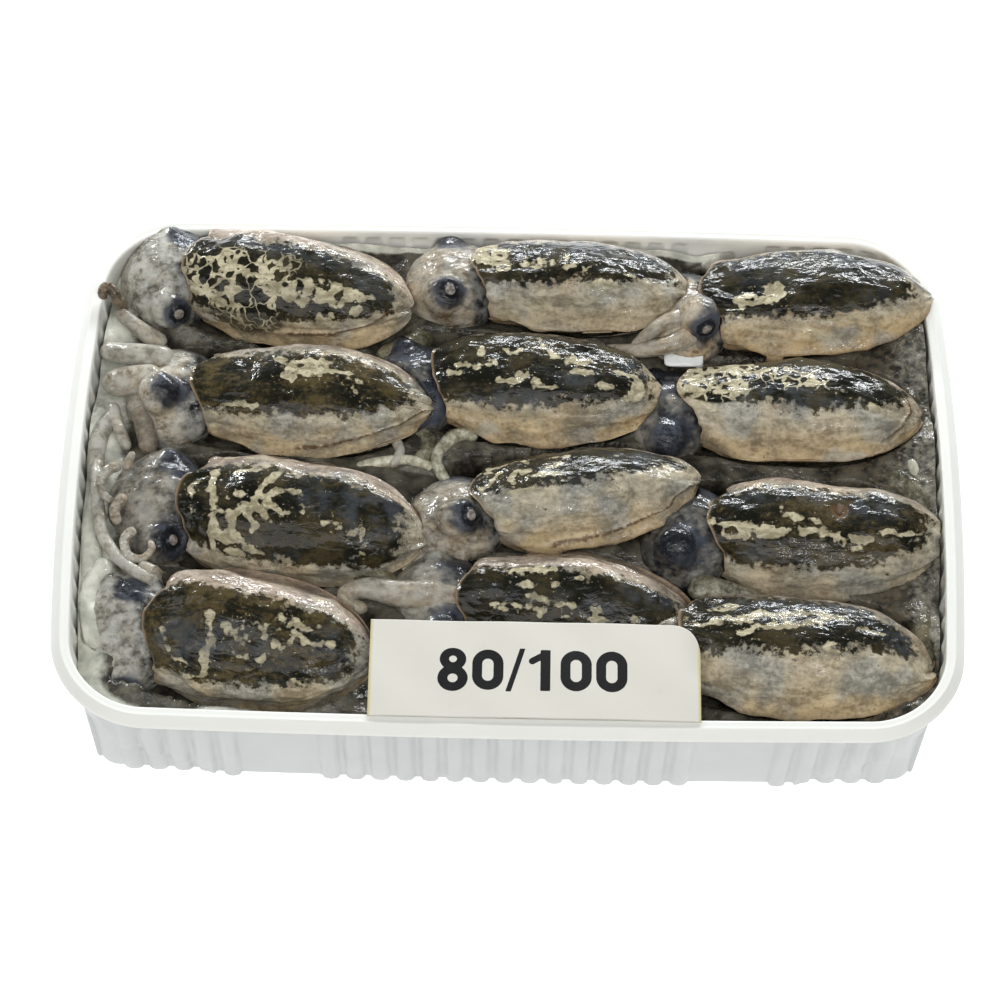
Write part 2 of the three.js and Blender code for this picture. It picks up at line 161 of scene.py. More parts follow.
# %% [markdown]
# ## Repeatable lumps
# Nothing in the tray is smooth at every scale. A small value noise, written with numpy so that it works
# on whole meshes at once, gives the same lumps each time the script runs.

# %% A noise for shapes
PRIMES = (73856093, 19349663, 83492791)  # large odd numbers, which spread neighbours far apart
SEED_PRIME, LAST_PRIME = 2654435761, 1274126177
LOW_BITS = 0xFFFFFFFF
CORNERS = np.array(list(np.ndindex(2, 2, 2)))
LAYER = {"shift": 17.3, "seed": 31}


def lattice(cell, seed):
    """A random number from -1 to 1 for each whole-number corner, always the same for the same seed."""
    x, y, z = (cell[..., k].astype(np.int64) * PRIMES[k] for k in range(3))
    mixed = (x ^ y ^ z ^ (seed * SEED_PRIME)) & LOW_BITS
    mixed = ((mixed ^ (mixed >> 13)) * LAST_PRIME) & LOW_BITS
    mixed ^= mixed >> 16
    return mixed / LOW_BITS * 2 - 1


def lumps(points, size, seed=0, layers=1):
    """Smooth noise at each point. size is the width of a lump, and each further layer is half as wide."""
    total = np.zeros(points.shape[:-1])
    strength = 1.0
    for layer in range(layers):
        where = points / size * 2**layer + LAYER["shift"] * (layer + 1)
        corner = np.floor(where)
        share = where - corner
        share = share * share * (3 - 2 * share)
        for step in CORNERS:
            weight = np.prod(np.where(step, share, 1 - share), axis=-1)
            total += strength * weight * lattice(corner + step, seed + LAYER["seed"] * layer)
        strength *= 0.5
    return total


def smooth_step(value, low, high):
    share = np.clip((value - low) / (high - low), 0, 1)
    return share * share * (3 - 2 * share)


print("noise sample", np.round(lumps(np.array([[0, 0, 0], [10, 0, 0], [0, 10, 0.0]]), 12), 3))

# %% [markdown]
# ## Meshes from rings
# Nearly every form here is a skin stretched over rings of points: the tray wall, a body, a tentacle. Two
# helpers are enough: one makes the faces between rings, and one turns arrays into a Blender object.

# %% Mesh helpers
def ring_faces(rows, columns, closed=True):
    """Quads between rows of points, numbered row by row."""
    across = np.arange(columns if closed else columns - 1)
    after = (across + 1) % columns
    start = np.arange(rows - 1)[:, None] * columns
    corners = [start + across, start + after, start + columns + after, start + columns + across]
    return np.stack(corners, -1).reshape(-1, 4).tolist()


def cap_faces(first, columns, tip, flip=False):
    """Triangles from a ring of points to one tip."""
    fans = [(first + j, first + (j + 1) % columns, tip) for j in range(columns)]
    return [fan[::-1] for fan in fans] if flip else fans


def closed_faces(rows, columns):
    """Faces of a closed skin: its rings, then a middle point for the first ring and one for the last."""
    first_tip = rows * columns
    faces = ring_faces(rows, columns) + cap_faces(0, columns, first_tip, flip=True)
    return faces + cap_faces((rows - 1) * columns, columns, first_tip + 1)


def vertex_normals(points, faces):
    """The average direction of the faces round each point."""
    quads = np.array([face if len(face) == 4 else (*face, face[2]) for face in faces])
    a, b, c, d = (points[quads[:, k]] for k in range(4))
    normal = np.cross(c - a, d - b)
    total = np.zeros_like(points)
    for k in range(4):
        np.add.at(total, quads[:, k], normal)
    return total / np.maximum(np.linalg.norm(total, axis=1, keepdims=True), 1e-9)


def make_object(name, points, faces, material, marks=None):
    """An object from points in millimetres, with a named number on each point for its material."""
    mesh = bpy.data.meshes.new(name)
    mesh.from_pydata((np.asarray(points) * MM).tolist(), [], faces)
    mesh.polygons.foreach_set("use_smooth", [True] * len(mesh.polygons))
    for mark, values in (marks or {}).items():
        layer = mesh.attributes.new(mark, "FLOAT", "POINT")
        layer.data.foreach_set("value", np.asarray(values, dtype=np.float32))
    mesh.update()
    piece = bpy.data.objects.new(name, mesh)
    bpy.context.scene.collection.objects.link(piece)
    if material:
        mesh.materials.append(material)
    return piece


def join_parts(parts):
    """One list of points and faces from several, with their marks joined too."""
    points, faces, marks, start = [], [], {}, 0
    for part_points, part_faces, part_marks in parts:
        points.append(part_points)
        faces += [tuple(int(i) + start for i in face) for face in part_faces]
        start += len(part_points)
        for mark, values in part_marks.items():
            marks.setdefault(mark, []).append(values)
    return np.concatenate(points), faces, {mark: np.concatenate(values) for mark, values in marks.items()}


print("faces between two rings of 8:", len(ring_faces(2, 8)))

# %% [markdown]
# ## Nodes in a few words
# Every finish below is a small network of noise, ramps and mixes. Writing each node out would hide the
# idea, so this little writer makes one node, fills its sockets and links it in a single call.

# %% A small node writer
class Finish:
    """A material under construction. A node's values are numbers, colours or other nodes' outputs."""

    def __init__(self, name):
        self.material = bpy.data.materials.new(name)
        self.material.use_nodes = True
        self.tree = self.material.node_tree
        self.surface = self.tree.nodes["Principled BSDF"]

    def put(self, socket, value):
        if isinstance(value, bpy.types.NodeSocket):
            self.tree.links.new(value, socket)
        elif isinstance(value, tuple) and len(value) == 3 and len(socket.default_value) == 4:
            socket.default_value = (*value, 1)
        else:
            socket.default_value = value

    def node(self, kind, settings=None, out=0, **inputs):
        """A new node. An input is given by its name, or as i and its number."""
        made = self.tree.nodes.new("ShaderNode" + kind)
        for key, value in (settings or {}).items():
            setattr(made, key, value)
        for key, value in inputs.items():
            numbered = key[0] == "i" and key[1:].isdigit()
            self.put(made.inputs[int(key[1:]) if numbered else key], value)
        return made.outputs[out]

    def place(self):
        """Where a point lies, in millimetres."""
        here = self.node("TexCoord", out=3)
        return self.node("VectorMath", {"operation": "SCALE"}, Vector=here, Scale=1 / MM)

    def mark(self, name):
        return self.node("Attribute", {"attribute_name": name}, out=2)

    def stretch(self, where, along, across=1.0):
        """The same place squeezed along the tray, so that what is drawn on it runs lengthways."""
        return self.node("VectorMath", {"operation": "MULTIPLY"}, i0=where, i1=(along, across, 1.0))

    def noise(self, where, size, detail=4.0, rough=0.55, twist=0.0, colour=False):
        """Noise whose lumps are about size millimetres wide."""
        return self.node("TexNoise", out=1 if colour else 0, Vector=where, Scale=1.0 / size,
                         Detail=detail, Roughness=rough, Distortion=twist)

    def maths(self, operation, a, b=0.0, clamp=False):
        return self.node("Math", {"operation": operation, "use_clamp": clamp}, i0=a, i1=b)

    def times(self, a, b, clamp=False):
        return self.maths("MULTIPLY", a, b, clamp)

    def plus(self, a, b):
        return self.maths("ADD", a, b)

    def most(self, a, b):
        return self.maths("MAXIMUM", a, b)

    def stir(self, value, noise, amount):
        """Moves a value up and down with a noise, by amount from its lowest to its highest."""
        return self.plus(value, self.times(self.maths("SUBTRACT", noise, 0.5), amount))

    def ramp(self, value, low, high, start=0.0, end=1.0):
        """A smooth change from start to end as value goes from low to high."""
        return self.node("MapRange", {"interpolation_type": "SMOOTHSTEP"}, i0=value, i1=low, i2=high,
                         i3=start, i4=end)

    def blend(self, share, a, b, mode="MIX"):
        made = self.tree.nodes.new("ShaderNodeMix")
        made.data_type = "RGBA"
        made.blend_type = mode
        made.clamp_factor = True
        for index, value in ((0, share), (6, a), (7, b)):
            self.put(made.inputs[index], value)
        return made.outputs[2]

    def bump(self, height, depth, under=None):
        """Relief: height from 0 to 1 stands for depth millimetres."""
        made = self.tree.nodes.new("ShaderNodeBump")
        made.inputs["Strength"].default_value = 1.0
        made.inputs["Distance"].default_value = depth * MM
        self.put(made.inputs["Height"], height)
        if under:
            self.put(made.inputs["Normal"], under)
        return made.outputs[0]

    def finish(self, **values):
        for key, value in values.items():
            self.put(self.surface.inputs[key.replace("_", " ")], value)
        return self.material


print("node writer ready:", Finish.__name__)

# %% [markdown]
# ## The tray
# A tray like this is drawn from one thin white sheet, so each rib that stands out on the outside is a
# flute on the inside. The wall is one skin through rings of about 1,500 points. A rule says how far a
# point is pushed out by the rib that it lies on, and the inside face is pushed by the same rule.

# %% Tray sizes, as in the CAD model
TRAY = {"length": 300.0, "depth": 200.0, "height": 54.0, "corner": 30.0, "foot_corner": 7.0, "bow": 5.5,
        "front_bow": 2.0, "slope": 3.0, "flat": 3.5, "draft": 4.0, "wall": 0.9, "foot": 3.0}
RIM = TRAY["slope"] + TRAY["flat"]
RIB = {"pitch": 8.25, "width": 5.8, "reach": 1.7, "corner_at": 107.0, "inside": 0.52}
# the corners' ribs stand on a step of the wall, which climbs towards the corner
STEP = {"start": 96, "end": 99, "low": 4, "climb": 0.62, "sway": 0.8, "pitch": 0.76, "depth": 0.62,
        "flatter": 0.15, "longest": 60}


def spaced(count, centre):
    return [centre + (i - (count - 1) / 2) * RIB["pitch"] for i in range(count)]


LONG_RIBS = np.array(spaced(5, -RIB["corner_at"]) + spaced(15, 0) + spaced(5, RIB["corner_at"]))
SHORT_RIBS = np.array(spaced(17, 0))


def outline(inset, radius, corner_points=44, long_points=430, short_points=280):
    """The tray's edge from above: points, outward directions and the side that each lies on."""
    half = np.array([TRAY["length"] / 2, TRAY["depth"] / 2]) - inset - radius
    points, out, side = [], [], []
    starts = [(1, -1, -90), (1, 1, 0), (-1, 1, 90), (-1, -1, 180)]
    for index, (sx, sy, start) in enumerate(starts):
        turn = np.radians(np.linspace(start, start + 90, corner_points))
        ray = np.stack([np.cos(turn), np.sin(turn)], -1)
        arc = half * [sx, sy] + radius * ray
        points.append(arc)
        out.append(ray)
        side.append(np.full(corner_points, -1))
        nx, ny, after = starts[(index + 1) % 4]
        count = short_points if index % 2 == 0 else long_points
        share = np.linspace(0, 1, count + 2)[1:-1, None]
        after = math.radians(after)
        next_start = half * [nx, ny] + radius * np.array([math.cos(after), math.sin(after)])
        points.append(arc[-1] + (next_start - arc[-1]) * share)
        out.append(np.repeat(ray[-1:], count, 0))
        side.append(np.full(count, (1, 2, 3, 0)[index]))
    points, out = np.concatenate(points), np.concatenate(out)
    across = points / [TRAY["length"] / 2, TRAY["depth"] / 2]
    bowed = points * np.stack([1 - 2 * TRAY["bow"] / TRAY["length"] * across[:, 1] ** 2,
                               1 - 2 * TRAY["front_bow"] / TRAY["depth"] * across[:, 0] ** 2], -1)
    return bowed, out, np.concatenate(side)


def rib_push(points, out, height):
    """How far the ribs push a point of the wall out, from 0 to 1, at a height on the wall."""
    push = np.zeros(len(points))
    for axis, ribs in ((0, LONG_RIBS), (1, SHORT_RIBS)):
        along = points[:, axis]
        nearest = np.abs(along[:, None] - ribs).min(1) / (RIB["width"] / 2)
        dome = np.sqrt(np.clip(1 - nearest**2, 0, 1)) ** 0.8
        push = np.maximum(push, dome * np.abs(out[:, 1 - axis]) ** 4)
    away = np.abs(points[:, 0])
    near_corner = smooth_step(away, STEP["start"], STEP["end"]) * (np.abs(out[:, 1]) > 0.5)
    step_height = STEP["low"] + STEP["climb"] * np.clip(away - STEP["start"], 0, STEP["longest"])
    step_height += STEP["sway"] * np.sin(points[:, 0] * STEP["pitch"])
    setback = near_corner * smooth_step(step_height - height, -0.3, 0.5)
    return push * (1 - STEP["flatter"] * setback) - STEP["depth"] * setback


def wall_ring(height, shift, ribbed):
    share = min(height / TRAY["height"], 1.0)
    radius = TRAY["foot_corner"] + (TRAY["corner"] - RIM - TRAY["foot_corner"]) * share
    points, out, _ = outline(RIM + TRAY["draft"] * (1 - share) + shift, radius - shift * 0.5)
    return points + out * (ribbed * RIB["reach"] * rib_push(points, out, height))[:, None]


def rim_ring(inset):
    return outline(inset, TRAY["corner"] - inset)[0]


RIM_OPENS = 51.2  # the height above which the rim turns outwards, and leaves room


def keep_inside(points, gap=0.5):
    """Moves points that would be in the tray's wall to its inner face."""
    half = np.array([TRAY["length"], TRAY["depth"]]) / 2
    share = np.clip(points[:, 2:] / TRAY["height"], 0, 1)
    radius = TRAY["foot_corner"] + (TRAY["corner"] - RIM - TRAY["foot_corner"]) * share
    squared = (points[:, 1::-1] / half[::-1]) ** 2
    bow = 1 - np.array([TRAY["bow"], TRAY["front_bow"]]) * squared / half
    flat = points[:, :2] / bow
    room = 2 * np.maximum(points[:, 2:] - RIM_OPENS, 0)
    straight = half - RIM - TRAY["draft"] * (1 - share) - gap + room - radius
    past = np.abs(flat) - straight
    reach = np.linalg.norm(np.maximum(past, 0), axis=1, keepdims=True)
    past = np.where(past > 0, past * np.minimum(1, radius / np.maximum(reach, TINY)), past)
    return np.column_stack([np.sign(flat) * (straight + past) * bow, points[:, 2]])


print("ribs:", 2 * (len(LONG_RIBS) + len(SHORT_RIBS)), "points round the wall:", len(rim_ring(0)))

# %% Build the tray's skin
FOOT_CURVE = ((0.0, 1.6), (0.25, 0.7), (0.9, 0.15))  # height, and how far in
WALL_HEIGHTS = (1.6, 3, 5, 7.5, 10, 12.5, 15, 17.5, 20, 23, 26, 30, 36, 42, 47, 49.6)
RIM_CURVE = ((2.6, 51.9), (1.4, 51.2), (0.9, 50.6), (0.55, 50.35), (0.2, 50.45), (0.0, 50.9),
             (0.15, 51.35), (0.9, 52.1), (1.8, 52.85), (2.5, 53.45), (2.9, 53.8), (3.2, 53.97),
             (3.5, 54.0), (3.9, 53.85), (4.6, 53.82), (5.4, 53.84), (5.9, 53.8), (6.2, 53.6),
             (6.4, 53.2), (6.5, 52.6))  # how far in from the edge, and height
FLUTE_STARTS = ((52, 0.0), (51, 0.1), (50.2, 0.35), (49.4, 0.5))  # height, and the ribs' share
INNER_HEIGHTS = {0: (48, 45, 41, 36), 0.3: (32, 28, 24, 20, 16, 12, 8, 5, 3)}  # for each shift inwards
RIM_TURN = 3  # rings of the rim's inner edge, which count as inside


def tray_skin():
    """The tray as points, faces and, for each point, if it is on the inside."""
    wall, flute = TRAY["wall"], RIB["inside"]
    rows = [(wall_ring(height, inwards - wall, 1.0), height) for height, inwards in FOOT_CURVE]
    rows += [(wall_ring(height, -wall, 1.0), height) for height in WALL_HEIGHTS]
    rows.append((wall_ring(50.6, -wall, 0.8), 50.8))
    rows.append((wall_ring(51, -wall - 0.4, 0.0), 51.6))
    rows += [(rim_ring(inset), height) for inset, height in RIM_CURVE]
    outer_rows = len(rows) - RIM_TURN
    rows += [(wall_ring(height, 0, ribs), height) for height, ribs in FLUTE_STARTS]
    for shift, heights in INNER_HEIGHTS.items():
        rows += [(wall_ring(height, shift, flute), height) for height in heights]
    rows.append((wall_ring(wall, TRAY["foot"], 0.0), wall))
    columns = len(rows[0][0])
    points = [np.column_stack([ring, np.full(columns, height)]) for ring, height in rows]
    shape = np.concatenate(points + [[[0, 0, 0.35]], [[0, 0, wall]]])
    inside = np.arange(len(shape)) >= outer_rows * columns
    inside[-2] = False
    return shape, closed_faces(len(rows), columns), inside


# one white plastic in two tones: the darker wall colours are painted shade on the outer wall, the lighter
# rim colours painted light on the rim and the whole inside
PLASTIC = {"wall": ((0.53, 0.545, 0.545), (0.585, 0.60, 0.595)),
           "rim": ((0.80, 0.805, 0.76), (0.85, 0.855, 0.82)),
           "stain": (0.42, 0.41, 0.30), "speck": (0.45, 0.38, 0.22)}


def white_plastic():
    finish = Finish("white_moulded_plastic")
    place = finish.place()
    cloud = finish.noise(place, 60, 3)
    grain = finish.noise(place, 0.8, 3)
    specks = finish.ramp(finish.noise(place, 2.2, 2), 0.76, 0.84)
    colour = finish.blend(cloud, *PLASTIC["wall"])
    height = finish.node("SeparateXYZ", Vector=place, out=2)
    # painted light: the rim and the whole inside take the lighter colours, and the outer wall keeps the
    # darker ones as painted shade
    lit_share = finish.most(finish.ramp(height, 49.0, 50.6), finish.mark("inner"))
    colour = finish.blend(lit_share, colour, finish.blend(cloud, *PLASTIC["rim"]))
    patchy = finish.ramp(finish.noise(place, 7, 5), 0.35, 0.62)
    stained = finish.times(finish.mark("stain"), patchy)
    colour = finish.blend(stained, colour, PLASTIC["stain"])
    colour = finish.blend(finish.times(specks, 0.25), colour, PLASTIC["speck"])
    relief = finish.bump(finish.noise(place, 9, 2), 0.12)
    relief = finish.bump(grain, 0.012, under=relief)
    rough = finish.ramp(finish.noise(place, 14, 4), 0.3, 0.7, 0.3, 0.46)
    return finish.finish(Base_Color=colour, Roughness=rough, Normal=relief, IOR=1.49)


def add_tray():
    shape, faces, inside = tray_skin()
    wet = smooth_step(shape[:, 2], 40, 44) * (shape[:, 2] < 53.5)
    stain = wet * inside * (0.12 + 0.5 * smooth_step(shape[:, 0], 110, 135))
    tray = make_object("tray_shell", shape, faces, white_plastic(), {"stain": stain, "inner": inside})
    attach(tray, "root")
    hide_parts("tray")
    return tray


tray = add_tray()

# %% [markdown]
# ## One body
# A cuttlefish's mantle is a bag: wide and flat in front, closed and rounded behind, with a thin fin down
# each side and a back edge that reaches forward over the head. Here it is a skin through rings, worked
# out by the same rules as the CAD solid, so the two have the same outline. u runs from 0 at the front
# edge to 1 at the tail, and the angle runs round the body: 0 is the far side, 90 the middle of the back
# and 180 the side that faces the camera.

# %% Where each animal lies
FIN = {"reach": 3.0, "angle": -9.0, "spread": 7.0, "start": 0.06}
SECTION = {"above": 0.54, "below": 0.46, "power": 0.86}  # shares of the thickness, and how full it is
HEAD = {"out": 8.0, "long": 17.0, "wide": 0.43, "high": 0.43}
EYE = {"radius": 7.5, "side": 0.31, "up": 4.5, "lens": 2.1}


def animal(at, turn, size, bend, droop, gaze, eye, arms, **marks):
    """turn is yaw, pitch and roll; bend, droop and gaze turn the head; the rest are its marks."""
    return dict(at=at, turn=turn, size=size, bend=bend, droop=droop, gaze=gaze, eye=eye, arms=arms,
                **marks)


def turn_matrix(yaw, pitch, roll):
    z = Matrix.Rotation(math.radians(yaw), 3, "Z")
    y = Matrix.Rotation(math.radians(-pitch), 3, "Y")
    x = Matrix.Rotation(math.radians(roll), 3, "X")
    return np.array(z @ y @ x)


def set_down(spec, points):
    """From an animal's own frame to the tray's."""
    return points @ turn_matrix(*spec["turn"]).T + np.array(spec["at"])


def pick_up(spec, points):
    """From the tray's frame to an animal's own."""
    return (points - np.array(spec["at"])) @ turn_matrix(*spec["turn"])


def neck_matrix(spec):
    """How the head is bent from the mantle's line: sideways, then down."""
    sideways = Matrix.Rotation(math.radians(spec["bend"]), 3, "Z")
    return np.array(sideways @ Matrix.Rotation(math.radians(-spec["droop"]), 3, "Y"))


def turn_neck(spec, points):
    """Bends the head from the mantle's line, about the neck."""
    neck = np.array([-spec["size"][0] / 2 + 4, 0, 0])
    return (points - neck) @ neck_matrix(spec).T + neck


def taper(u, widest, front_loss, power, root):
    """A share of full size: 1 at the widest place, less in front of it, and nought at the tail."""
    behind = np.clip((u - widest) / (1 - widest), 0, 1)
    before = (widest - u) / widest
    return np.where(u < widest, 1 - front_loss * before**2, (1 - behind**power) ** root)


def width_share(u):
    return taper(u, 0.36, 0.16, 2.6, 0.55)


def thickness_share(u):
    return taper(u, 0.42, 0.2, 2.7, 0.6)


def mantle_points(size, u, angle):
    """Points of the mantle's skin in the animal's own frame."""
    length, width, thickness = size
    angle = np.where(angle > 270, angle - 360, angle)
    turn = np.where(angle > 90, 180 - angle, angle)
    c, s = np.cos(np.radians(angle)), np.sin(np.radians(angle))
    fin = FIN["reach"] * np.exp(-(((turn - FIN["angle"]) / FIN["spread"]) ** 2))
    fin = fin * smooth_step(u, FIN["start"], 0.3) * (1 - 0.5 * u**6)
    half = (width / 2 - FIN["reach"] * 0.7) * width_share(u)
    high = thickness * np.where(s > 0, SECTION["above"], SECTION["below"]) * thickness_share(u)
    # the back's edge reaches forward over the head, and the belly's lies further behind
    setback = 0.07 - 0.085 * np.exp(-(((turn - 90) / 34) ** 2))
    setback += 0.05 * np.exp(-(((turn + 90) / 50) ** 2))
    return np.stack([length * (u - 0.5 + setback * (1 - u) ** 4),
                     np.sign(c) * (np.abs(c) ** SECTION["power"] * half + fin),
                     np.sign(s) * np.abs(s) ** SECTION["power"] * high - 0.3 * fin], -1)


middle = mantle_points((80, 42, 28), 0.4, np.arange(0, 360, 5.0))
print("a mantle's middle ring is", np.ptp(middle, axis=0).round(1))

# %% [markdown]
# ## The marks on each back
# No two backs are alike, so each animal has a short list of its own marks. near and far are the two
# edges of its dark band, as angles at three places along the body. A blot is an oval (u, angle, half its
# length, half its width, tilt), and a spot is the same, taken out of a blot. A stroke is a width and the
# places that it runs through, and so is a seam, a brown line between mantle and fin. net, film and bumps
# are ovals where pale lines, a bluish film or a swelling show, each with its strength. Sizes are
# millimetres. The material roughens every edge with noise, so a few strokes are enough.

# %% The skin's scale
BACK = 0.32  # millimetres of skin for each degree round the body
print("round a whole body there are", 360 * BACK, "mm of skin")

# %% [markdown]
# ### The back row
# The back row lies highest. The left one has a net of pale lines over half its back, the middle one is
# pale and low in contrast, and the right one is dark with one pale bar and clean tan flanks.

# %% The back row
ANIMALS = {
    "1a": animal((-74, 71, 50), (-11, 2, 8), (80, 43, 28), 14, 14, 0, 5, 18,
        near=(152, 146, 128), far=(50, 56, 68), warm=0.6,
        blots=[(0.56, 102, 5, 3.2), (0.67, 104, 7, 4.2), (0.68, 116, 6, 3.4), (0.665, 145, 4.2, 6.5),
               (0.77, 106, 5, 3), (0.79, 126, 2.3, 3.4), (0.5, 113, 3.6, 3.6), (0.55, 121, 3, 2.4),
               (0.83, 104, 3, 1.6)],
        strokes=[(2.2, (0.03, 121), (0.1, 126), (0.16, 138)),
                 (2.0, (0.3, 100), (0.38, 105), (0.45, 108))],
        spots=[(0.6, 110, 1.0, 2.8), (0.53, 104, 0.9, 2.4), (0.705, 112, 0.9, 2.6),
               (0.655, 128, 1.1, 2.6), (0.63, 100, 3.0, 0.9), (0.76, 116, 2.6, 0.8)],
        net=[(0.24, 112, 22, 11, 0.8), (0.3, 158, 16, 8, 0.4), (0.3, 84, 20, 6, 0.35)],
        film=[(0.85, 84, 8, 8, 0.6), (0.5, 66, 26, 4, 0.5)],
        seams=[(0.6, (0.5, 170), (0.7, 166), (0.85, 150), (0.93, 120))],
        bumps=[(0.08, 46, 8, 3.2), (0.3, 54, 8, 1.4), (0.74, 84, 9, 1.2)]),
    "1b": animal((24, 73.5, 51), (-4, 3, -12), (74, 40, 27), 2, 6, 8, 10, 22,
        near=(126, 122, 104), far=(56, 56, 64), warm=0.25,
        blots=[(0.3, 98, 6.5, 2.8), (0.425, 99, 1.3, 3.0), (0.5, 103, 5.5, 1.4), (0.13, 99, 3.5, 3.4),
               (0.05, 80, 6, 6), (0.71, 108, 2.8, 1.8), (0.62, 128, 7, 3.6), (0.24, 160, 10, 4),
               (0.5, 149, 8, 3.2), (0.36, 137, 6, 2.2), (0.12, 176, 7, 3), (0.85, 160, 5, 4)],
        spots=[(0.31, 97, 3.2, 0.8), (0.12, 104, 2.4, 1.0), (0.09, 82, 1.6, 2.0), (0.26, 104, 2.0, 0.8),
               (0.5, 101, 2.2, 0.6)],
        net=[(0.08, 84, 6, 6, 0.6)],
        film=[(0.5, 62, 32, 8, 0.9), (0.3, 134, 4, 3, 0.8)]),
    "1c": animal((105, 70, 50), (2, 5, -14), (79, 44, 28), 11, 8, 20, 3, 30,
        near=(138, 146, 130), far=(56, 56, 62), warm=0.75,
        blots=[(0.3, 104, 4.5, 3.2), (0.25, 117, 9, 2.6, -9), (0.19, 109, 4.5, 2.0), (0.56, 155, 8, 2.0),
               (0.4, 154, 4, 1.8), (0.14, 120, 3, 4)],
        strokes=[(1.6, (0.1, 166), (0.3, 160), (0.5, 168), (0.75, 164)),
                 (1.4, (0.15, 176), (0.45, 174), (0.7, 178)), (1.4, (0.7, 156), (0.8, 150), (0.84, 140))],
        film=[(0.5, 66, 34, 7, 0.9), (0.3, 92, 9, 3, 0.5), (0.74, 118, 5, 5, 0.5)],
        bumps=[(0.3, 108, 5, 1.6), (0.22, 118, 6, 1.2), (0.12, 98, 4, 1.4)]),
}
print("the back row:", ", ".join(name for name in ANIMALS if name[0] == "1"))

# %% [markdown]
# ### The second row
# These backs are mostly black. The right one has a fine pale net by its head, and the two others carry
# pale streaks along the middle of the back.

# %% The second row
ANIMALS |= {
    "2a": animal((-67, 27.5, 47), (-4, 3, -4), (81, 42, 28), 0, 8, 38, 9, 18,
        near=(134, 136, 122), far=(62, 64, 70), warm=0.5, olive=0.9,
        blots=[(0.5, 76, 8, 2.2), (0.49, 86, 9, 2.4), (0.41, 92, 4, 1.8), (0.36, 74, 4, 1.8),
               (0.62, 84, 6, 1.3), (0.68, 91, 3.5, 0.9), (0.2, 127, 7, 1.8), (0.3, 147, 5, 2.6),
               (0.41, 160, 4, 2.6), (0.565, 165, 3, 3.4), (0.66, 147, 3, 2.6), (0.7, 139, 1.8, 4.2),
               (0.71, 157, 6, 2.4), (0.9, 150, 5, 8), (0.06, 150, 5, 5)],
        strokes=[(1.0, (0.68, 98), (0.7, 104), (0.72, 108))],
        film=[(0.86, 66, 6, 6, 1.0), (0.3, 48, 18, 6, 0.7)],
        seams=[(0.5, (0.45, 180), (0.7, 174), (0.88, 160), (0.96, 130))],
        bumps=[(0.24, 84, 3, 0.9), (0.9, 66, 5, 1.6), (0.97, 92, 3, -1.8)]),
    "2b": animal((12, 33.5, 47), (-5, 3, -8), (79, 43, 28), 10, 16, 0, 8, 12,
        near=(142, 139, 128), far=(40, 40, 46), warm=0.7,
        blots=[(0.4, 104, 3.4, 2.0), (0.36, 111, 6, 1.7), (0.45, 113, 2.6, 2.2), (0.52, 118, 4, 1.2),
               (0.65, 97, 4, 1.8), (0.75, 112, 3, 1.8), (0.83, 92, 6, 1.4), (0.885, 112, 3.4, 8),
               (0.5, 165, 3, 2.6), (0.14, 172, 4, 2)],
        strokes=[(1.7, (0.02, 92), (0.08, 102), (0.14, 103)), (1.4, (0.12, 95), (0.25, 94)),
                 (1.5, (0.2, 68), (0.22, 84), (0.28, 91)), (1.3, (0.3, 76), (0.35, 82), (0.4, 75)),
                 (1.6, (0.45, 60), (0.48, 75), (0.55, 87)), (1.5, (0.58, 87), (0.68, 86)),
                 (1.2, (0.6, 80), (0.7, 99))],
        film=[(0.64, 108, 8, 2.2, 0.9), (0.36, 138, 14, 5, 0.8), (0.86, 80, 5, 4, 0.8)],
        bumps=[(0.4, 104, 2.6, 2.4), (0.3, 80, 9, 1.0)]),
    "2c": animal((99, 27, 46.5), (-4, 4, -10), (81, 41, 28), 14, 16, 0, 8, 20,
        near=(104, 118, 100), far=(38, 42, 56), warm=0.6,
        blots=[(0.07, 86, 4, 2.2), (0.2, 99, 6, 1.6), (0.3, 77, 5, 1.6), (0.63, 98, 4, 1.6),
               (0.8, 110, 4, 3)],
        strokes=[(1.2, (0.02, 78), (0.1, 90), (0.2, 94))],
        spots=[(0.15, 108, 3.6, 1.3), (0.4, 104, 5, 3.6), (0.6, 103, 6, 3.2), (0.66, 94, 6, 2),
               (0.45, 76, 5, 1.6)],
        net=[(0.14, 80, 13, 10, 1.5), (0.42, 84, 16, 4, 0.9)],
        film=[(0.4, 108, 14, 5, 0.8), (0.64, 112, 8, 3, 0.7), (0.3, 128, 12, 5, 0.3)],
        seams=[(0.5, (0.86, 172), (0.91, 150), (0.95, 110), (0.93, 80))]),
}
print("the second row:", ", ".join(name for name in ANIMALS if name[0] == "2"))

# %% [markdown]
# ### The third row
# The left one has a pale cross of strokes behind its head, and the middle one is the palest of all: its
# dark band is narrow. The right one has a long pale line and a small brown knob on the back.

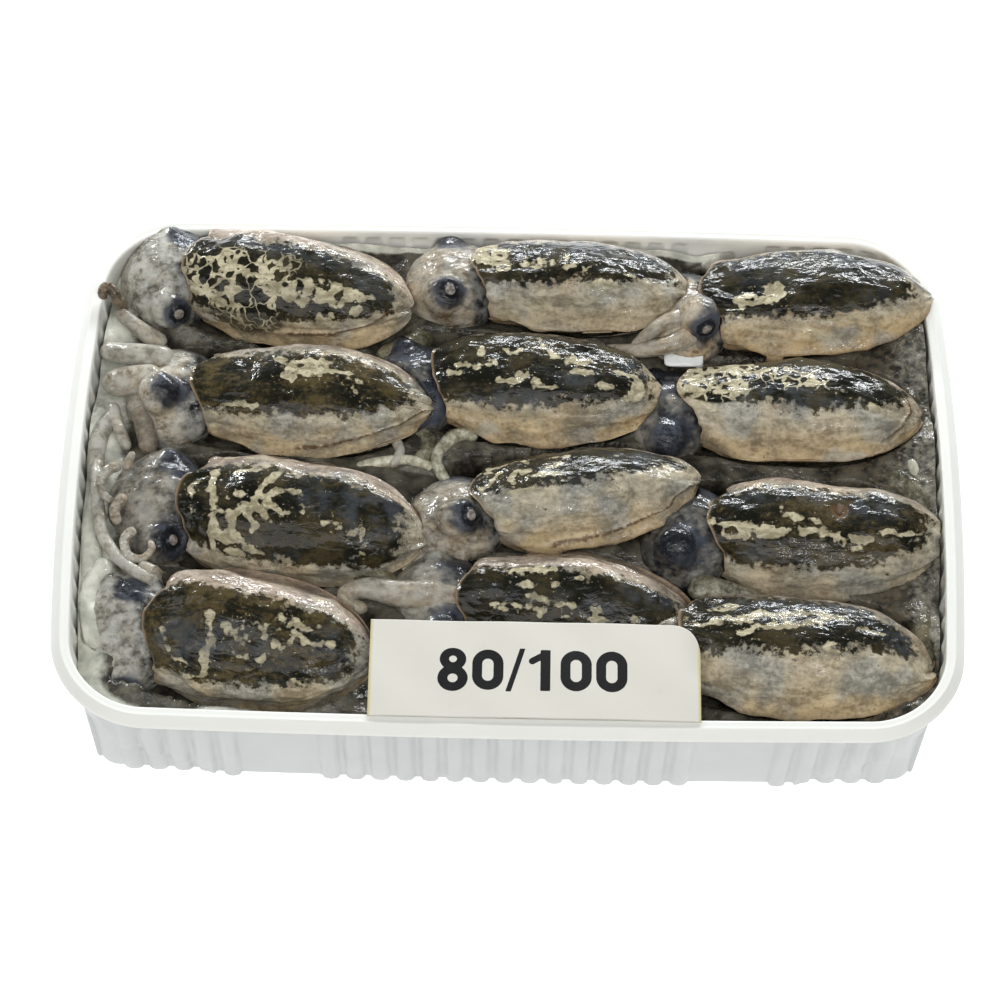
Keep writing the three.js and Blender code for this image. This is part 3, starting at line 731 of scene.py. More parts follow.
# %% The third row
ANIMALS |= {
    "3a": animal((-69, -18.5, 45), (-8, 2, 8), (82, 46, 29), 4, 8, 0, 5, 20,
        near=(146, 152, 160), far=(54, 60, 62), warm=0.25, olive=0.5,
        blots=[(0.2, 128, 6, 3.4), (0.25, 147, 5.5, 2.4), (0.26, 62, 5, 1.8), (0.45, 81, 1.6, 1.0),
               (0.39, 92, 3.4, 1.6)],
        strokes=[(2.6, (0.12, 62), (0.13, 75), (0.16, 90), (0.17, 104), (0.16, 120), (0.14, 145)),
                 (1.5, (0.07, 104), (0.14, 102), (0.25, 103), (0.33, 92)),
                 (1.5, (0.22, 88), (0.33, 90), (0.42, 83), (0.5, 79)),
                 (1.8, (0.4, 62), (0.36, 74), (0.33, 88), (0.35, 98), (0.39, 104)),
                 (2.6, (0.27, 100), (0.24, 113), (0.23, 128)), (1.6, (0.38, 92), (0.45, 97), (0.53, 95)),
                 (1.4, (0.28, 98), (0.35, 112), (0.33, 119)), (0.9, (0.62, 103), (0.68, 106)),
                 (1.3, (0.73, 109), (0.77, 104), (0.77, 115), (0.79, 135)),
                 (2.4, (0.27, 125), (0.31, 138), (0.38, 142)), (1.0, (0.09, 75), (0.05, 84), (0.07, 90))],
        film=[(0.8, 88, 12, 9, 0.9), (0.45, 50, 30, 4, 0.8), (0.62, 84, 12, 3, 0.7),
              (0.4, 140, 10, 3, 0.5)],
        bumps=[(0.985, 140, 3, -2.2), (0.2, 66, 6, 1.2)]),
    "3b": animal((26, -7.5, 46.5), (7, 5, -18), (75, 40, 27), 10, 8, 25, 7, 24,
        near=(106, 112, 92), far=(36, 40, 60), warm=0.6,
        blots=[(0.32, 97, 5.6, 2.0), (0.055, 150, 4, 5.6), (0.67, 138, 6.4, 3.4), (0.575, 128, 2.2, 2.2),
               (0.44, 133, 4, 1.2), (0.87, 100, 1.8, 4), (0.4, 160, 9, 3), (0.2, 112, 5, 1.2),
               (0.64, 76, 1, 2)],
        strokes=[(1.3, (0.0, 66), (0.07, 76), (0.13, 83), (0.2, 88)),
                 (1.2, (0.04, 58), (0.1, 69), (0.13, 76)),
                 (1.4, (0.13, 72), (0.17, 66), (0.22, 71), (0.25, 79)),
                 (1.1, (0.1, 90), (0.2, 90), (0.3, 91), (0.4, 85)), (1.5, (0.17, 86), (0.18, 101)),
                 (1.0, (0.02, 92), (0.08, 96), (0.12, 88)), (1.2, (0.38, 72), (0.43, 76), (0.43, 86))],
        spots=[(0.09, 116, 2.4, 1.4), (0.12, 128, 3, 2.2)],
        film=[(0.4, 130, 26, 8, 0.45), (0.72, 80, 8, 6, 0.8)],
        seams=[(0.5, (0.3, 184), (0.6, 180), (0.85, 172), (0.95, 140))]),
    "3c": animal((105, -20.5, 45), (-2, 2, 0), (77, 43, 28), 4, 10, 30, 10, 24,
        near=(146, 147, 126), far=(62, 58, 64), warm=0.15, olive=0.7,
        blots=[(0.1, 110, 6, 3.2), (0.25, 108, 7, 2.6), (0.64, 113, 5, 2.4), (0.62, 122, 3, 1.8),
               (0.5, 108, 4, 2.2)],
        strokes=[(2.2, (0.02, 100), (0.15, 102), (0.3, 106), (0.42, 104), (0.5, 105), (0.56, 117)),
                 (1.2, (0.72, 104), (0.82, 105), (0.9, 101)), (1.0, (0.3, 86), (0.36, 94), (0.46, 92))],
        spots=[(0.09, 108, 2.6, 1.6), (0.2, 133, 7, 2.6), (0.92, 82, 1.6, 4)],
        film=[(0.66, 74, 12, 5, 0.8), (0.2, 133, 8, 4, 0.9), (0.45, 70, 24, 3, 0.7),
              (0.6, 160, 24, 8, 0.4)],
        bumps=[(0.55, 83, 2.5, 3.2), (0.97, 92, 3, -1.6)],
        knobs=[(0.55, 83, 3.0, 2.4, 1.0)]),
}
print("the third row:", ", ".join(name for name in ANIMALS if name[0] == "3"))

# %% [markdown]
# ### The front row
# The front row has the boldest pale strokes. The middle one lies under the paper label, so only its back
# shows.

# %% The front row
ANIMALS |= {
    "4a": animal((-80, -62, 42), (-9, 2, 18), (76, 47, 28), 16, 12, 0, 8, 12,
        near=(138, 142, 128), far=(52, 56, 60), warm=0.5, olive=0.9,
        blots=[(0.645, 77, 3.2, 2.2), (0.3, 118, 2.4, 4.6), (0.55, 107, 1.6, 2.2), (0.72, 80, 3, 1.2)],
        strokes=[(1.9, (0.3, 82), (0.33, 98), (0.3, 114), (0.29, 132)),
                 (1.0, (0.1, 96), (0.11, 110), (0.15, 121), (0.23, 124)),
                 (1.2, (0.44, 85), (0.5, 82), (0.56, 92), (0.62, 99), (0.66, 92), (0.66, 84)),
                 (1.4, (0.58, 72), (0.63, 80), (0.72, 79), (0.76, 74)),
                 (1.2, (0.42, 108), (0.5, 112), (0.56, 108)), (1.0, (0.36, 88), (0.42, 92), (0.48, 96)),
                 (0.9, (0.67, 84), (0.7, 90), (0.78, 92), (0.84, 88)), (1.2, (0.7, 130), (0.75, 142)),
                 (1.3, (0.08, 152), (0.16, 146), (0.25, 138))],
        film=[(0.2, 103, 11, 5, 1.0), (0.42, 97, 12, 3, 0.8), (0.82, 84, 5, 4, 0.8),
              (0.88, 120, 6, 10, 0.4)],
        bumps=[(0.16, 84, 8, 2.0), (0.1, 150, 5, 1.6)]),
    "4b": animal((23, -48, 41.5), (-5, 2, 14), (77, 40, 27), 10, 8, 15, 6, 26,
        near=(134, 130, 124), far=(54, 60, 66), warm=0.4,
        blots=[(0.28, 78, 4, 2.2), (0.39, 77, 2.5, 1.5), (0.36, 104, 2.2, 2.2), (0.5, 68, 2.2, 1.3),
               (0.6, 107, 5, 2), (0.75, 107, 2.3, 1.8), (0.19, 103, 2.5, 1.4), (0.26, 106, 1.0, 1.1),
               (0.47, 106, 2, 1), (0.3, 58, 9, 2.6)],
        strokes=[(0.9, (0.3, 90), (0.5, 96), (0.6, 98)), (0.9, (0.14, 98), (0.25, 98), (0.34, 100))],
        film=[(0.8, 72, 9, 5, 0.9), (0.3, 88, 14, 2, 0.6), (0.66, 94, 12, 2, 0.6)]),
    "4c": animal((98, -64, 42), (-7, 2, -10), (83, 46, 30), 6, 12, 0, 8, 22,
        near=(124, 112, 92), far=(50, 50, 70), warm=0.6,
        blots=[(0.15, 74, 5, 3), (0.6, 106, 4.4, 2.2)],
        strokes=[(2.0, (0.1, 98), (0.2, 89), (0.3, 85), (0.38, 82)),
                 (1.7, (0.22, 105), (0.3, 96), (0.42, 92), (0.55, 82)),
                 (2.2, (0.4, 81), (0.5, 76), (0.6, 77)), (1.1, (0.02, 92), (0.08, 98)),
                 (0.9, (0.68, 84), (0.78, 83)), (1.1, (0.2, 92), (0.3, 90), (0.4, 87))],
        spots=[(0.145, 72, 1, 0.8), (0.6, 106, 3, 1.1)],
        film=[(0.5, 60, 26, 7, 0.8), (0.16, 62, 8, 5, 0.8), (0.86, 80, 6, 7, 0.7)],
        bumps=[(0.985, 150, 3, -2.2), (0.08, 66, 4, 2.0)]),
}
print("the front row:", ", ".join(name for name in ANIMALS if name[0] == "4"))

# %% [markdown]
# ## Painting by distance
# A mark is stored as how far each point of the skin lies from the mark's edge, in millimetres. The
# material compares that number with fine noise, so the painted edge is much sharper and more ragged than
# the mesh itself. The far side of a body, which the photograph hides, gets marks drawn by a seeded rule.

# %% Distances to marks
FAR_AWAY = 30.0  # a distance at which no mark shows


def ellipse_distance(along, round_, mark):
    """About how far points lie outside an ellipse (u, angle, long, short, tilt), in millimetres."""
    (length, at_u, at_angle, long_half, short_half), tilt = mark[:5], math.radians(mark[5])
    x, y = along - at_u * length, (round_ - at_angle) * BACK
    a = (x * math.cos(tilt) + y * math.sin(tilt)) / long_half
    b = (y * math.cos(tilt) - x * math.sin(tilt)) / short_half
    reach = np.hypot(a, b)
    steepness = np.hypot(a * short_half, b * long_half) / np.maximum(reach, TINY)
    return (reach - 1) * (long_half * short_half) / np.maximum(steepness, TINY)


def path_distance(along, round_, length, path):
    """How far points lie from a broken line of (u, angle) places, in millimetres."""
    places = [(u * length, angle * BACK) for u, angle in path]
    best = np.full(along.shape, FAR_AWAY)
    x, y = along, round_ * BACK
    for (ax, ay), (bx, by) in zip(places, places[1:]):
        dx, dy = bx - ax, by - ay
        share = np.clip(((x - ax) * dx + (y - ay) * dy) / (dx * dx + dy * dy), 0, 1)
        best = np.minimum(best, np.hypot(x - ax - share * dx, y - ay - share * dy))
    return best


def band_edge(u, three):
    """The dark band's edge: its angle is given at u 0.1, 0.5 and 0.9."""
    front, middle, back = three
    angles = (front, front, (front + middle) / 2 + 1, middle, (middle * 2 + back) / 3, back)
    return np.interp(u, (0.0, 0.1, 0.3, 0.5, 0.7, 0.9), angles)


def hidden_blots(seed):
    """Nine blots on the far flank, where no photograph shows them."""
    draw = np.random.default_rng(seed)
    return [(draw.uniform(0.1, 0.9), draw.uniform(-5, 42), draw.uniform(2, 6), draw.uniform(1.5, 3),
             draw.uniform(-20, 20)) for _ in range(9)]


NO_MARKS = {"blot": FAR_AWAY, "net": 0.0, "film": 0.0, "dark": 0.0, "knob": 0.0, "seam": FAR_AWAY,
            "tan": 0.0, "under": 0.0, "pink": 0.0, "lip": 0.0, "eye": 20.0, "head": 0.0, "olive": 0.3,
            "smooth": 0.0}


def skin_marks(shape, **own):
    """Every number that the skin material reads: own ones where given, and plain skin's elsewhere."""
    return {mark: np.zeros(shape) + own.get(mark, plain) for mark, plain in NO_MARKS.items()}


def soft_ovals(spec, kind, along, round_, fade):
    """The strongest of an animal's soft-edged ovals at each point. fade is the width of an edge."""
    total = np.zeros(along.shape)
    for *oval, strength in spec.get(kind, []):
        away = ellipse_distance(along, round_, (spec["size"][0], *oval, 0))
        total = np.maximum(total, strength * smooth_step(-away, *fade))
    return total


def blot_distance(spec, along, round_, seed):
    """How far points lie from the nearest blot or stroke, with the spots taken out."""
    length = spec["size"][0]
    blot = np.full(along.shape, FAR_AWAY)
    for mark in spec.get("blots", []) + hidden_blots(seed):
        blot = np.minimum(blot, ellipse_distance(along, round_, (length, *mark, 0)[:6]) + 0.6)
    for width, *path in spec.get("strokes", []):
        blot = np.minimum(blot, path_distance(along, round_, length, path) + 0.05 - width / 2)
    for mark in spec.get("spots", []):
        blot = np.maximum(blot, -ellipse_distance(along, round_, (length, *mark, 0)[:6]))
    return blot


def mantle_marks(spec, u, angle, seed):
    """The numbers that the skin material reads, for each point of a mantle."""
    length = spec["size"][0]
    along, round_ = u * length, np.where(angle > 270, angle - 360, angle)
    # the dark band fades at its edges and before the tail
    near, far = band_edge(u, spec["near"]), band_edge(u, spec["far"])
    edge = np.minimum(near - round_, round_ - far) * BACK
    tail = (0.92 - u) * length * 0.8
    dark = smooth_step(np.minimum(edge, tail), -6.5, 6.5)
    from_top = np.abs(round_ - 90)
    seam = np.full(u.shape, FAR_AWAY)
    for width, *path in spec.get("seams", []):
        seam = np.minimum(seam, path_distance(along, round_, length, path) + 0.5 - width)
    return skin_marks(u.shape, blot=blot_distance(spec, along, round_, seed), dark=dark, seam=seam,
                      net=soft_ovals(spec, "net", along, round_, (-3, 3)),
                      film=soft_ovals(spec, "film", along, round_, (-4, 3)),
                      knob=soft_ovals(spec, "knobs", along, round_, (-0.6, 0.6)),
                      tan=spec.get("warm", 0.4) * (0.2 + 0.8 * smooth_step(from_top, 50, 88)),
                      under=smooth_step(from_top, 84, 112),
                      pink=0.75 * smooth_step(-round_, -64, -42), lip=smooth_step(u, 0.018, 0.0),
                      olive=spec.get("olive", 0.35))


print("edge of a band at u 0.3:", round(float(band_edge(0.3, (150, 140, 120))), 1))

# %% [markdown]
# ## The mantle's skin
# The rings lie close together at the front and the tail, where the form turns fastest. On top of the CAD
# form comes what a real body has: a rolled front lip with the bag's inside behind it, painted dark as
# painted shade, broad dents, a few swellings, and creases on the flanks. A crease is a valley where a
# smooth noise crosses nought, so it is a fine broken line and not a row of waves.

# %% Build a mantle
ROWS, TOP_COLUMNS, BELLY_COLUMNS = 132, 112, 26


DENTS = ((1.6, 23, 0), (0.55, 8, 5), (0.18, 3.4, 9), (0.06, 1.5, 15))  # depth, width, seed
CREASES = ((1.3, 7.5, 17, 0.4), (0.5, 3.6, 19, 0.6))  # depth, width, seed, squeeze along the body
BODY_REACH = 20  # millimetres from a body's line to its skin, to give the noise true sizes


def relief(spec, u, angle, seed):
    """How far the skin stands out from the smooth form, in millimetres."""
    along = u * spec["size"][0]
    round_ = np.where(angle > 270, angle - 360, angle)
    turn = np.radians(round_)
    spot = np.stack([along, np.cos(turn) * BODY_REACH, np.sin(turn) * BODY_REACH], -1)
    flank = smooth_step(np.abs(round_ - 90), 38, 70)
    height = sum(deep * lumps(spot, wide, seed + more) for deep, wide, more in DENTS)
    height += (0.12 + 0.16 * flank) * lumps(spot * [0.28, 1, 1], 3.4, seed + 13)
    for at_u, at_angle, size, high in spec.get("bumps", []):
        away = np.hypot(along - at_u * spec["size"][0], (round_ - at_angle) * BACK)
        height += high * np.exp(-((away / size) ** 2) * 1.6)
    for _, *path in spec.get("seams", []):
        height -= 0.8 * np.exp(-path_distance(along, round_, spec["size"][0], path) ** 2)
    height += 0.35 * np.exp(-((along / 1.2) ** 2))
    creased = 0.35 + 0.65 * np.maximum(flank, smooth_step(-u, -0.3, -0.05))
    for deep, wide, more, squeeze in CREASES:
        height += creased * deep * np.abs(lumps(spot * [squeeze, 1, 1], wide, seed + more))
    return height


def grid_normals(grid):
    """Outward directions of a closed grid of rings."""
    along = np.gradient(grid, axis=0)
    around = np.roll(grid, -1, axis=1) - np.roll(grid, 1, axis=1)
    normal = np.cross(along, around)
    return normal / np.maximum(np.linalg.norm(normal, axis=-1, keepdims=True), 1e-9)


LIP = ((9.0, 0.7), (6.0, 0.78), (3.5, 0.85), (1.8, 0.9), (0.7, 0.935), (0.1, 0.965))  # depth, size


def mantle_grid(spec, seed):
    """The skin's rings, and the place along and round the body of each point."""
    share = np.linspace(0, 1, ROWS)
    u_line = (share - 0.093 * np.sin(2 * np.pi * share)) * 0.997
    angles = np.concatenate([np.linspace(-22, 202, TOP_COLUMNS, endpoint=False),
                             np.linspace(202, 338, BELLY_COLUMNS, endpoint=False)])
    u, angle = np.meshgrid(u_line, angles, indexing="ij")
    grid = mantle_points(spec["size"], u, angle)
    grid = grid + grid_normals(grid) * relief(spec, u, angle, seed)[..., None]
    turn = np.radians(angle)
    around = np.stack([np.zeros(u.shape), np.cos(turn) * BODY_REACH, np.sin(turn) * BODY_REACH], -1)
    uneven_lip = 1.5 * lumps(around, 9, seed + 21) + 0.7 * lumps(around, 4, seed + 22)
    grid[..., 0] += (1 - u) ** 9 * uneven_lip
    grid[..., 0] += u**14 * 1.3 * lumps(around, 9, seed + 23)
    return grid, u, angle


def build_mantle(spec, seed):
    grid, u, angle = mantle_grid(spec, seed)
    marks = mantle_marks(spec, u, angle, seed)
    # the bag's inside: rings that turn in behind the lip, painted near black as painted shade
    centre = np.array([0, 0, -1.0])
    inner = [grid[0] * [1, size, size] + centre * (1 - size) + [depth, 0, 0] for depth, size in LIP]
    depths = np.array([depth for depth, _ in LIP])[:, None]
    shape = np.concatenate([np.array(inner), grid]).reshape(-1, 3)
    columns, rows = grid.shape[1], ROWS + len(LIP)
    joined = {}
    for mark, values in marks.items():
        front = np.repeat(values[:1], len(LIP), axis=0)
        # deeper than about a millimetre behind the lip the inside takes the dark mark: painted shade in
        # the bag's hollow
        if mark == "dark":
            front = np.repeat(smooth_step(depths, 0.5, 2.5), columns, axis=1)
        values = np.concatenate([front, values]).reshape(-1)
        joined[mark] = np.concatenate([values, values[:1], values[-1:]])
    throat = shape[:columns].mean(0)
    tail = grid[-1].mean(0) + [0.2, 0, 0]
    shape = np.concatenate([shape, [throat, tail]])
    return set_down(spec, shape), closed_faces(rows, columns), joined


test_points, test_faces, test_marks = build_mantle(ANIMALS["1a"], 1)
print("one mantle:", len(test_faces), "faces, spans", np.ptp(test_points, axis=0).round(1), "mm")

# %% [markdown]
# ## The head
# A head is a soft lump with a bulging eye on each side and a crown of short arms. Overlapping balls and
# tubes give the lumps, Blender's voxel remesh melts them into one skin, and a smoothing pass softens the
# joins. The eye's ring and lens are then raised on that skin by their distance from the eye's middle.

# %% Balls and tubes
def ball(centre, radii, sides=24, rows=14):
    """An ellipsoid as points and faces."""
    lift = np.linspace(-np.pi / 2, np.pi / 2, rows)[1:-1, None]
    turn = np.linspace(0, 2 * np.pi, sides, endpoint=False)[None, :]
    ring = np.stack([np.cos(lift) * np.cos(turn), np.cos(lift) * np.sin(turn),
                     np.sin(lift) * np.ones_like(turn)], -1)
    points = np.concatenate([ring.reshape(-1, 3), [[0, 0, -1], [0, 0, 1]]])
    return points * np.array(radii) + np.array(centre), closed_faces(rows - 2, sides)


def between(a, b, c, d, t):
    """A place from b to c on the smooth line through four places."""
    square = (2 * a - 5 * b + 4 * c - d) * t**2
    cube = (3 * b - a - 3 * c + d) * t**3
    return 0.5 * (2 * b + (c - a) * t + square + cube)


def smooth_path(places, steps):
    """A smooth line through the places, at even shares of its length, and that length."""
    places = np.array(places, float)
    ends = np.concatenate([[2 * places[0] - places[1]], places, [2 * places[-1] - places[-2]]])
    line = []
    for four in zip(ends, ends[1:], ends[2:], ends[3:]):
        line += [between(*four, t) for t in np.linspace(0, 1, 12, endpoint=False)]
    line = np.array(line + [places[-1]])
    walked = np.concatenate([[0], np.cumsum(np.linalg.norm(np.diff(line, axis=0), axis=1))])
    wanted = np.linspace(0, walked[-1], steps)
    return np.stack([np.interp(wanted, walked, line[:, k]) for k in range(3)], -1), walked[-1]


def tube(places, root, tip, sides=14, spacing=0.8):
    """A round tube with rounded ends along a smooth line, its radius running from root to tip."""
    _, length = smooth_path(places, 2)
    steps = max(8, int(length / spacing))
    line, _ = smooth_path(places, steps)
    ahead = np.gradient(line, axis=0)
    ahead /= np.linalg.norm(ahead, axis=1, keepdims=True)
    side = np.cross(ahead, [0.13, 0.31, 0.94])
    side /= np.linalg.norm(side, axis=1, keepdims=True)
    over = np.cross(side, ahead)
    share = np.linspace(0, 1, steps)
    past_tip = ((share * length - (length - tip * 1.2)) / (tip * 1.25)).clip(0, 1)
    past_root = ((root * 0.8 - share * length) / root).clip(0, 1)
    radius = root + (tip - root) * share
    radius = radius * np.sqrt(np.clip(1 - past_tip**2, 0.02, 1))
    radius = radius * np.sqrt(np.clip(1 - past_root**2, 0.05, 1))
    turn = np.linspace(0, 2 * np.pi, sides, endpoint=False)[None, :, None]
    outwards = np.cos(turn) * side[:, None] + np.sin(turn) * over[:, None]
    ring = line[:, None] + radius[:, None, None] * outwards
    return np.concatenate([ring.reshape(-1, 3), line[:1], line[-1:]]), closed_faces(steps, sides)


def melt(parts, voxel, passes):
    """One closed skin round overlapping parts, in millimetres."""
    points, faces, _ = join_parts([(p, f, {}) for p, f in parts])
    mesh = bpy.data.meshes.new("melt")
    mesh.from_pydata(points.tolist(), [], faces)
    rough = bpy.data.objects.new("melt", mesh)
    bpy.context.scene.collection.objects.link(rough)
    remesh = rough.modifiers.new("remesh", "REMESH")
    remesh.mode = "VOXEL"
    remesh.voxel_size = voxel
    soften = rough.modifiers.new("soften", "SMOOTH")
    soften.factor = 0.5
    soften.iterations = passes
    ready = rough.evaluated_get(bpy.context.evaluated_depsgraph_get()).to_mesh()
    shape = np.empty(len(ready.vertices) * 3)
    ready.vertices.foreach_get("co", shape)
    skin = [tuple(face.vertices) for face in ready.polygons]
    rough.to_mesh_clear()
    bpy.data.objects.remove(rough)
    bpy.data.meshes.remove(mesh)
    return shape.reshape(-1, 3), skin


print("a ball has", len(ball((0, 0, 0), (1, 1, 1))[1]), "faces")

# %% What each head shows
def face(near, far=(2.0, 3.0), lens=True, halo=6.5, tan=0.2, pale=0.5, shade=0.15, far_size=6.5):
    """near and far are how many millimetres right and up of an eyeball's middle its pupil shows, as
    seen from the camera. lens says if a pale lens shows, and halo is the reach of the dark round it."""
    return dict(near=near, far=far, lens=lens, halo=halo, tan=tan, pale=pale, shade=shade,
                far_size=far_size)


FACES = {
    "1a": face((3.6, -3.0), (5.0, 2.0), halo=5.8, tan=0.05, pale=1.0, shade=0.0, far_size=4.5),
    "1b": face((2.4, 1.7), (1.0, 5.0), halo=6.8, tan=0.75, pale=0.55, shade=0.3, far_size=7.0),
    "1c": face((2.7, -4.6), (2.0, 4.0), halo=6.6, tan=0.95, pale=0.45, shade=0.05),
    "2a": face((5.2, 2.4), (4.0, 4.0), lens=False, halo=8.4, tan=0.5, pale=0.85, shade=0.0, far_size=4.5),
    "2b": face((5.0, 3.0), (4.0, 2.0), lens=False, halo=12.0, tan=0.2, pale=0.2, shade=0.85,
               far_size=7.0),
    "2c": face((2.7, 1.4), (2.0, 2.0), lens=False, halo=11.0, tan=0.35, pale=0.3, shade=0.75),
    "3a": face((5.6, 0.8), (5.0, 1.5), halo=8.4, tan=0.3, pale=0.5, shade=0.5, far_size=5.0),
    "3b": face((4.8, 1.4), (3.0, 2.0), halo=7.4, tan=0.65, pale=0.5, shade=0.25),
    "3c": face((1.8, 2.7), (5.0, 3.0), lens=False, halo=12.0, tan=0.25, pale=0.25, shade=0.9),
    "4a": face((1.0, -5.0), (5.0, -1.0), lens=False, halo=5.0, tan=0.05, pale=1.0, shade=0.25,
               far_size=5.0),
    "4b": face((3.0, 3.0), (4.8, -4.0), lens=False, halo=8.5, tan=0.15, pale=0.6, shade=0.35),
    "4c": face((2.0, 2.0), (2.0, 2.0), lens=False, halo=8.0, tan=0.4, pale=0.4, shade=0.4),
}
print("faces:", len(FACES))

# %% Build a head
def pupil_way(spec, glance):
    """Which way a pupil looks, from how far right and up of the eyeball's middle it shows."""
    right, up, back = (np.array(axis) for axis in camera_axes())
    depth = math.sqrt(max(EYE["radius"] ** 2 - glance[0] ** 2 - glance[1] ** 2, 4.0))
    way = glance[0] * right + glance[1] * up + depth * back
    way = way @ turn_matrix(*spec["turn"]) @ neck_matrix(spec)
    return way / np.linalg.norm(way)


def eye_seat(spec, side):
    """The middle of an eye before the neck is bent. side -1 is the camera's side."""
    length, width, _ = spec["size"]
    gaze = math.radians(-spec["gaze"])
    c, s = math.cos(gaze), math.sin(gaze)
    y, z = side * width * EYE["side"], EYE["up"]
    return np.array([-length / 2 - spec["eye"], y * c - z * s, y * s + z * c])


def crown(spec, start, seed):
    """Eight short arms in two rows, from the head's front at start."""
    draw = np.random.default_rng(seed)
    arms = []
    for k in range(8):
        across, row = (k % 4 - 1.5) / 1.5, k // 4
        y = across * spec["size"][1] * 0.27
        long_ = spec["arms"] * draw.uniform(0.8, 1.0)
        sway = draw.uniform(-2.5, 2.5)
        lift = (1.5 - 5 * row) + draw.uniform(-0.8, 0.8)
        path = [(start + 7, y * 0.6, lift - 1),
                (start - long_ * 0.3, y * 0.9 + sway * 0.3, lift - 1 - abs(across)),
                (start - long_ * 0.7, y * 0.85 + sway, lift - 3),
                (start - long_, y * 0.6 + sway * 1.6, lift - 5)]
        arms.append(tube(path, 3.6, 1.4, sides=10, spacing=1.5))
    return arms


def head_lump(spec, start, seed):
    """Skull, neck, two eyeballs and the crown of arms, melted into one skin."""
    length, width, thickness = spec["size"]
    front = -length / 2
    skull = ball((front - HEAD["out"], 0, -1),
                 (HEAD["long"] + 1, width * HEAD["wide"] + 1, thickness * HEAD["high"] + 1.5))
    neck = ball((front - 2, 0, -1), (12, width * 0.36, thickness * 0.36))
    near_eye = ball(eye_seat(spec, -1), (EYE["radius"],) * 3)
    far_eye = ball(eye_seat(spec, 1), (spec["face"]["far_size"],) * 3)
    return melt([skull, neck, near_eye, far_eye, *crown(spec, start, seed)], 0.62, 24)


def eye_relief(away):
    """A ring round a hollow, with the lens raised in it."""
    ring = 0.3 * np.exp(-(((away - 5.2) / 1.2) ** 2)) - 0.3 * np.exp(-(((away - 3.1) / 0.9) ** 2))
    return ring + 0.4 * np.sqrt(np.clip(1 - (away / EYE["lens"]) ** 2, 0, 1))


def build_head(spec, seed):
    front, shown = -spec["size"][0] / 2, spec["face"]
    start = front - HEAD["out"] - HEAD["long"] * 0.55
    shape, faces = head_lump(spec, start, seed)
    normals = vertex_normals(shape, faces)
    push = 0.55 * lumps(shape, 9, seed + 3) + 0.32 * lumps(shape, 3.6, seed + 4)
    push += 0.12 * lumps(shape, 1.6, seed + 6) + 0.3 * lumps(shape * [0.3, 1, 1], 2.8, seed + 8)
    eye_near = np.full(len(shape), 40.0)
    for side, glance in ((-1, shown["near"]), (1, shown["far"])):
        middle = eye_seat(spec, side) + pupil_way(spec, glance) * EYE["radius"]
        away = np.linalg.norm(shape - middle, axis=1)
        shows_lens = shown["lens"] and side < 0
        past = away - EYE["lens"]
        scaled = np.where(past < 0, away, EYE["lens"] + past * 6.5 / shown["halo"])
        eye_near = np.minimum(eye_near, scaled if shows_lens else np.maximum(scaled, EYE["lens"] + 1.6))
        push *= 0.3 + 0.7 * smooth_step(away, 3, 9)
        if shows_lens:
            push += eye_relief(away)
    # the head is marked dark by the neck: painted shadow under the mantle's lip
    neck_shadow = smooth_step(shape[:, 0], front - 4, front + 2)
    arms = smooth_step(shape[:, 0], start + 2, start - 6)
    shape = shape + normals * push[:, None]
    cheek = shown["tan"] * np.exp(-(((eye_near - 9) / 6) ** 2)) * smooth_step(normals[:, 2], 0.9, 0.2)
    marks = skin_marks(len(shape), film=shown["pale"], dark=np.maximum(neck_shadow, shown["shade"]),
                       head=1 - 0.5 * arms, tan=shown["tan"] * 0.6 + 0.5 * cheek, eye=eye_near)
    return set_down(spec, turn_neck(spec, shape)), faces, marks


for name, shown in FACES.items():
    ANIMALS[name]["face"] = shown
test_points, test_faces, test_marks = build_head(ANIMALS["1a"], 1)
print("one head:", len(test_faces), "faces")

# %% [markdown]
# ## Loose arms
# Some arms lie outside their crown: pale ones along the left edge, and curled ones whose suckers face up.
# Each is a tube along a few places, in the tray's millimetres, with two rows of small balls for suckers.

# %% Arms that lie loose
ARM_UP = np.array((0.0, -0.35, 0.94))  # which way an arm's suckers face


def loose_arm(path, root, tip, pale, tan, shade, suckers):
    """An arm along the places of path, its radius running from root to tip."""
    parts = [tube(path, root, tip, sides=14, spacing=0.6)]
    _, length = smooth_path(path, 2)
    line, _ = smooth_path(path, max(5, int(length / min(root * 1.05, 2.6))))
    across = np.cross(np.gradient(line, axis=0), (0.1, -0.4, 0.9))
    across /= np.linalg.norm(across, axis=1, keepdims=True)
    thick = np.linspace(root, tip, len(line))
    for k in range(1, len(line) - 1) if suckers else ():
        for side in (-1, 1):
            place = line[k] + across[k] * side * thick[k] * 0.5 + ARM_UP * thick[k] * 0.72
            parts.append(ball(place, (min(thick[k] * 0.36, 1.1),) * 3, 10, 7))
    points, faces, _ = join_parts([(*part, {}) for part in parts])
    uneven = 0.45 * lumps(points, 5, 52) + 0.18 * lumps(points, 2.2, 51)
    marks = skin_marks(len(points), film=pale, dark=shade, tan=tan, head=1.0, smooth=0.4)
    return points + uneven[:, None] * ARM_UP, faces, marks


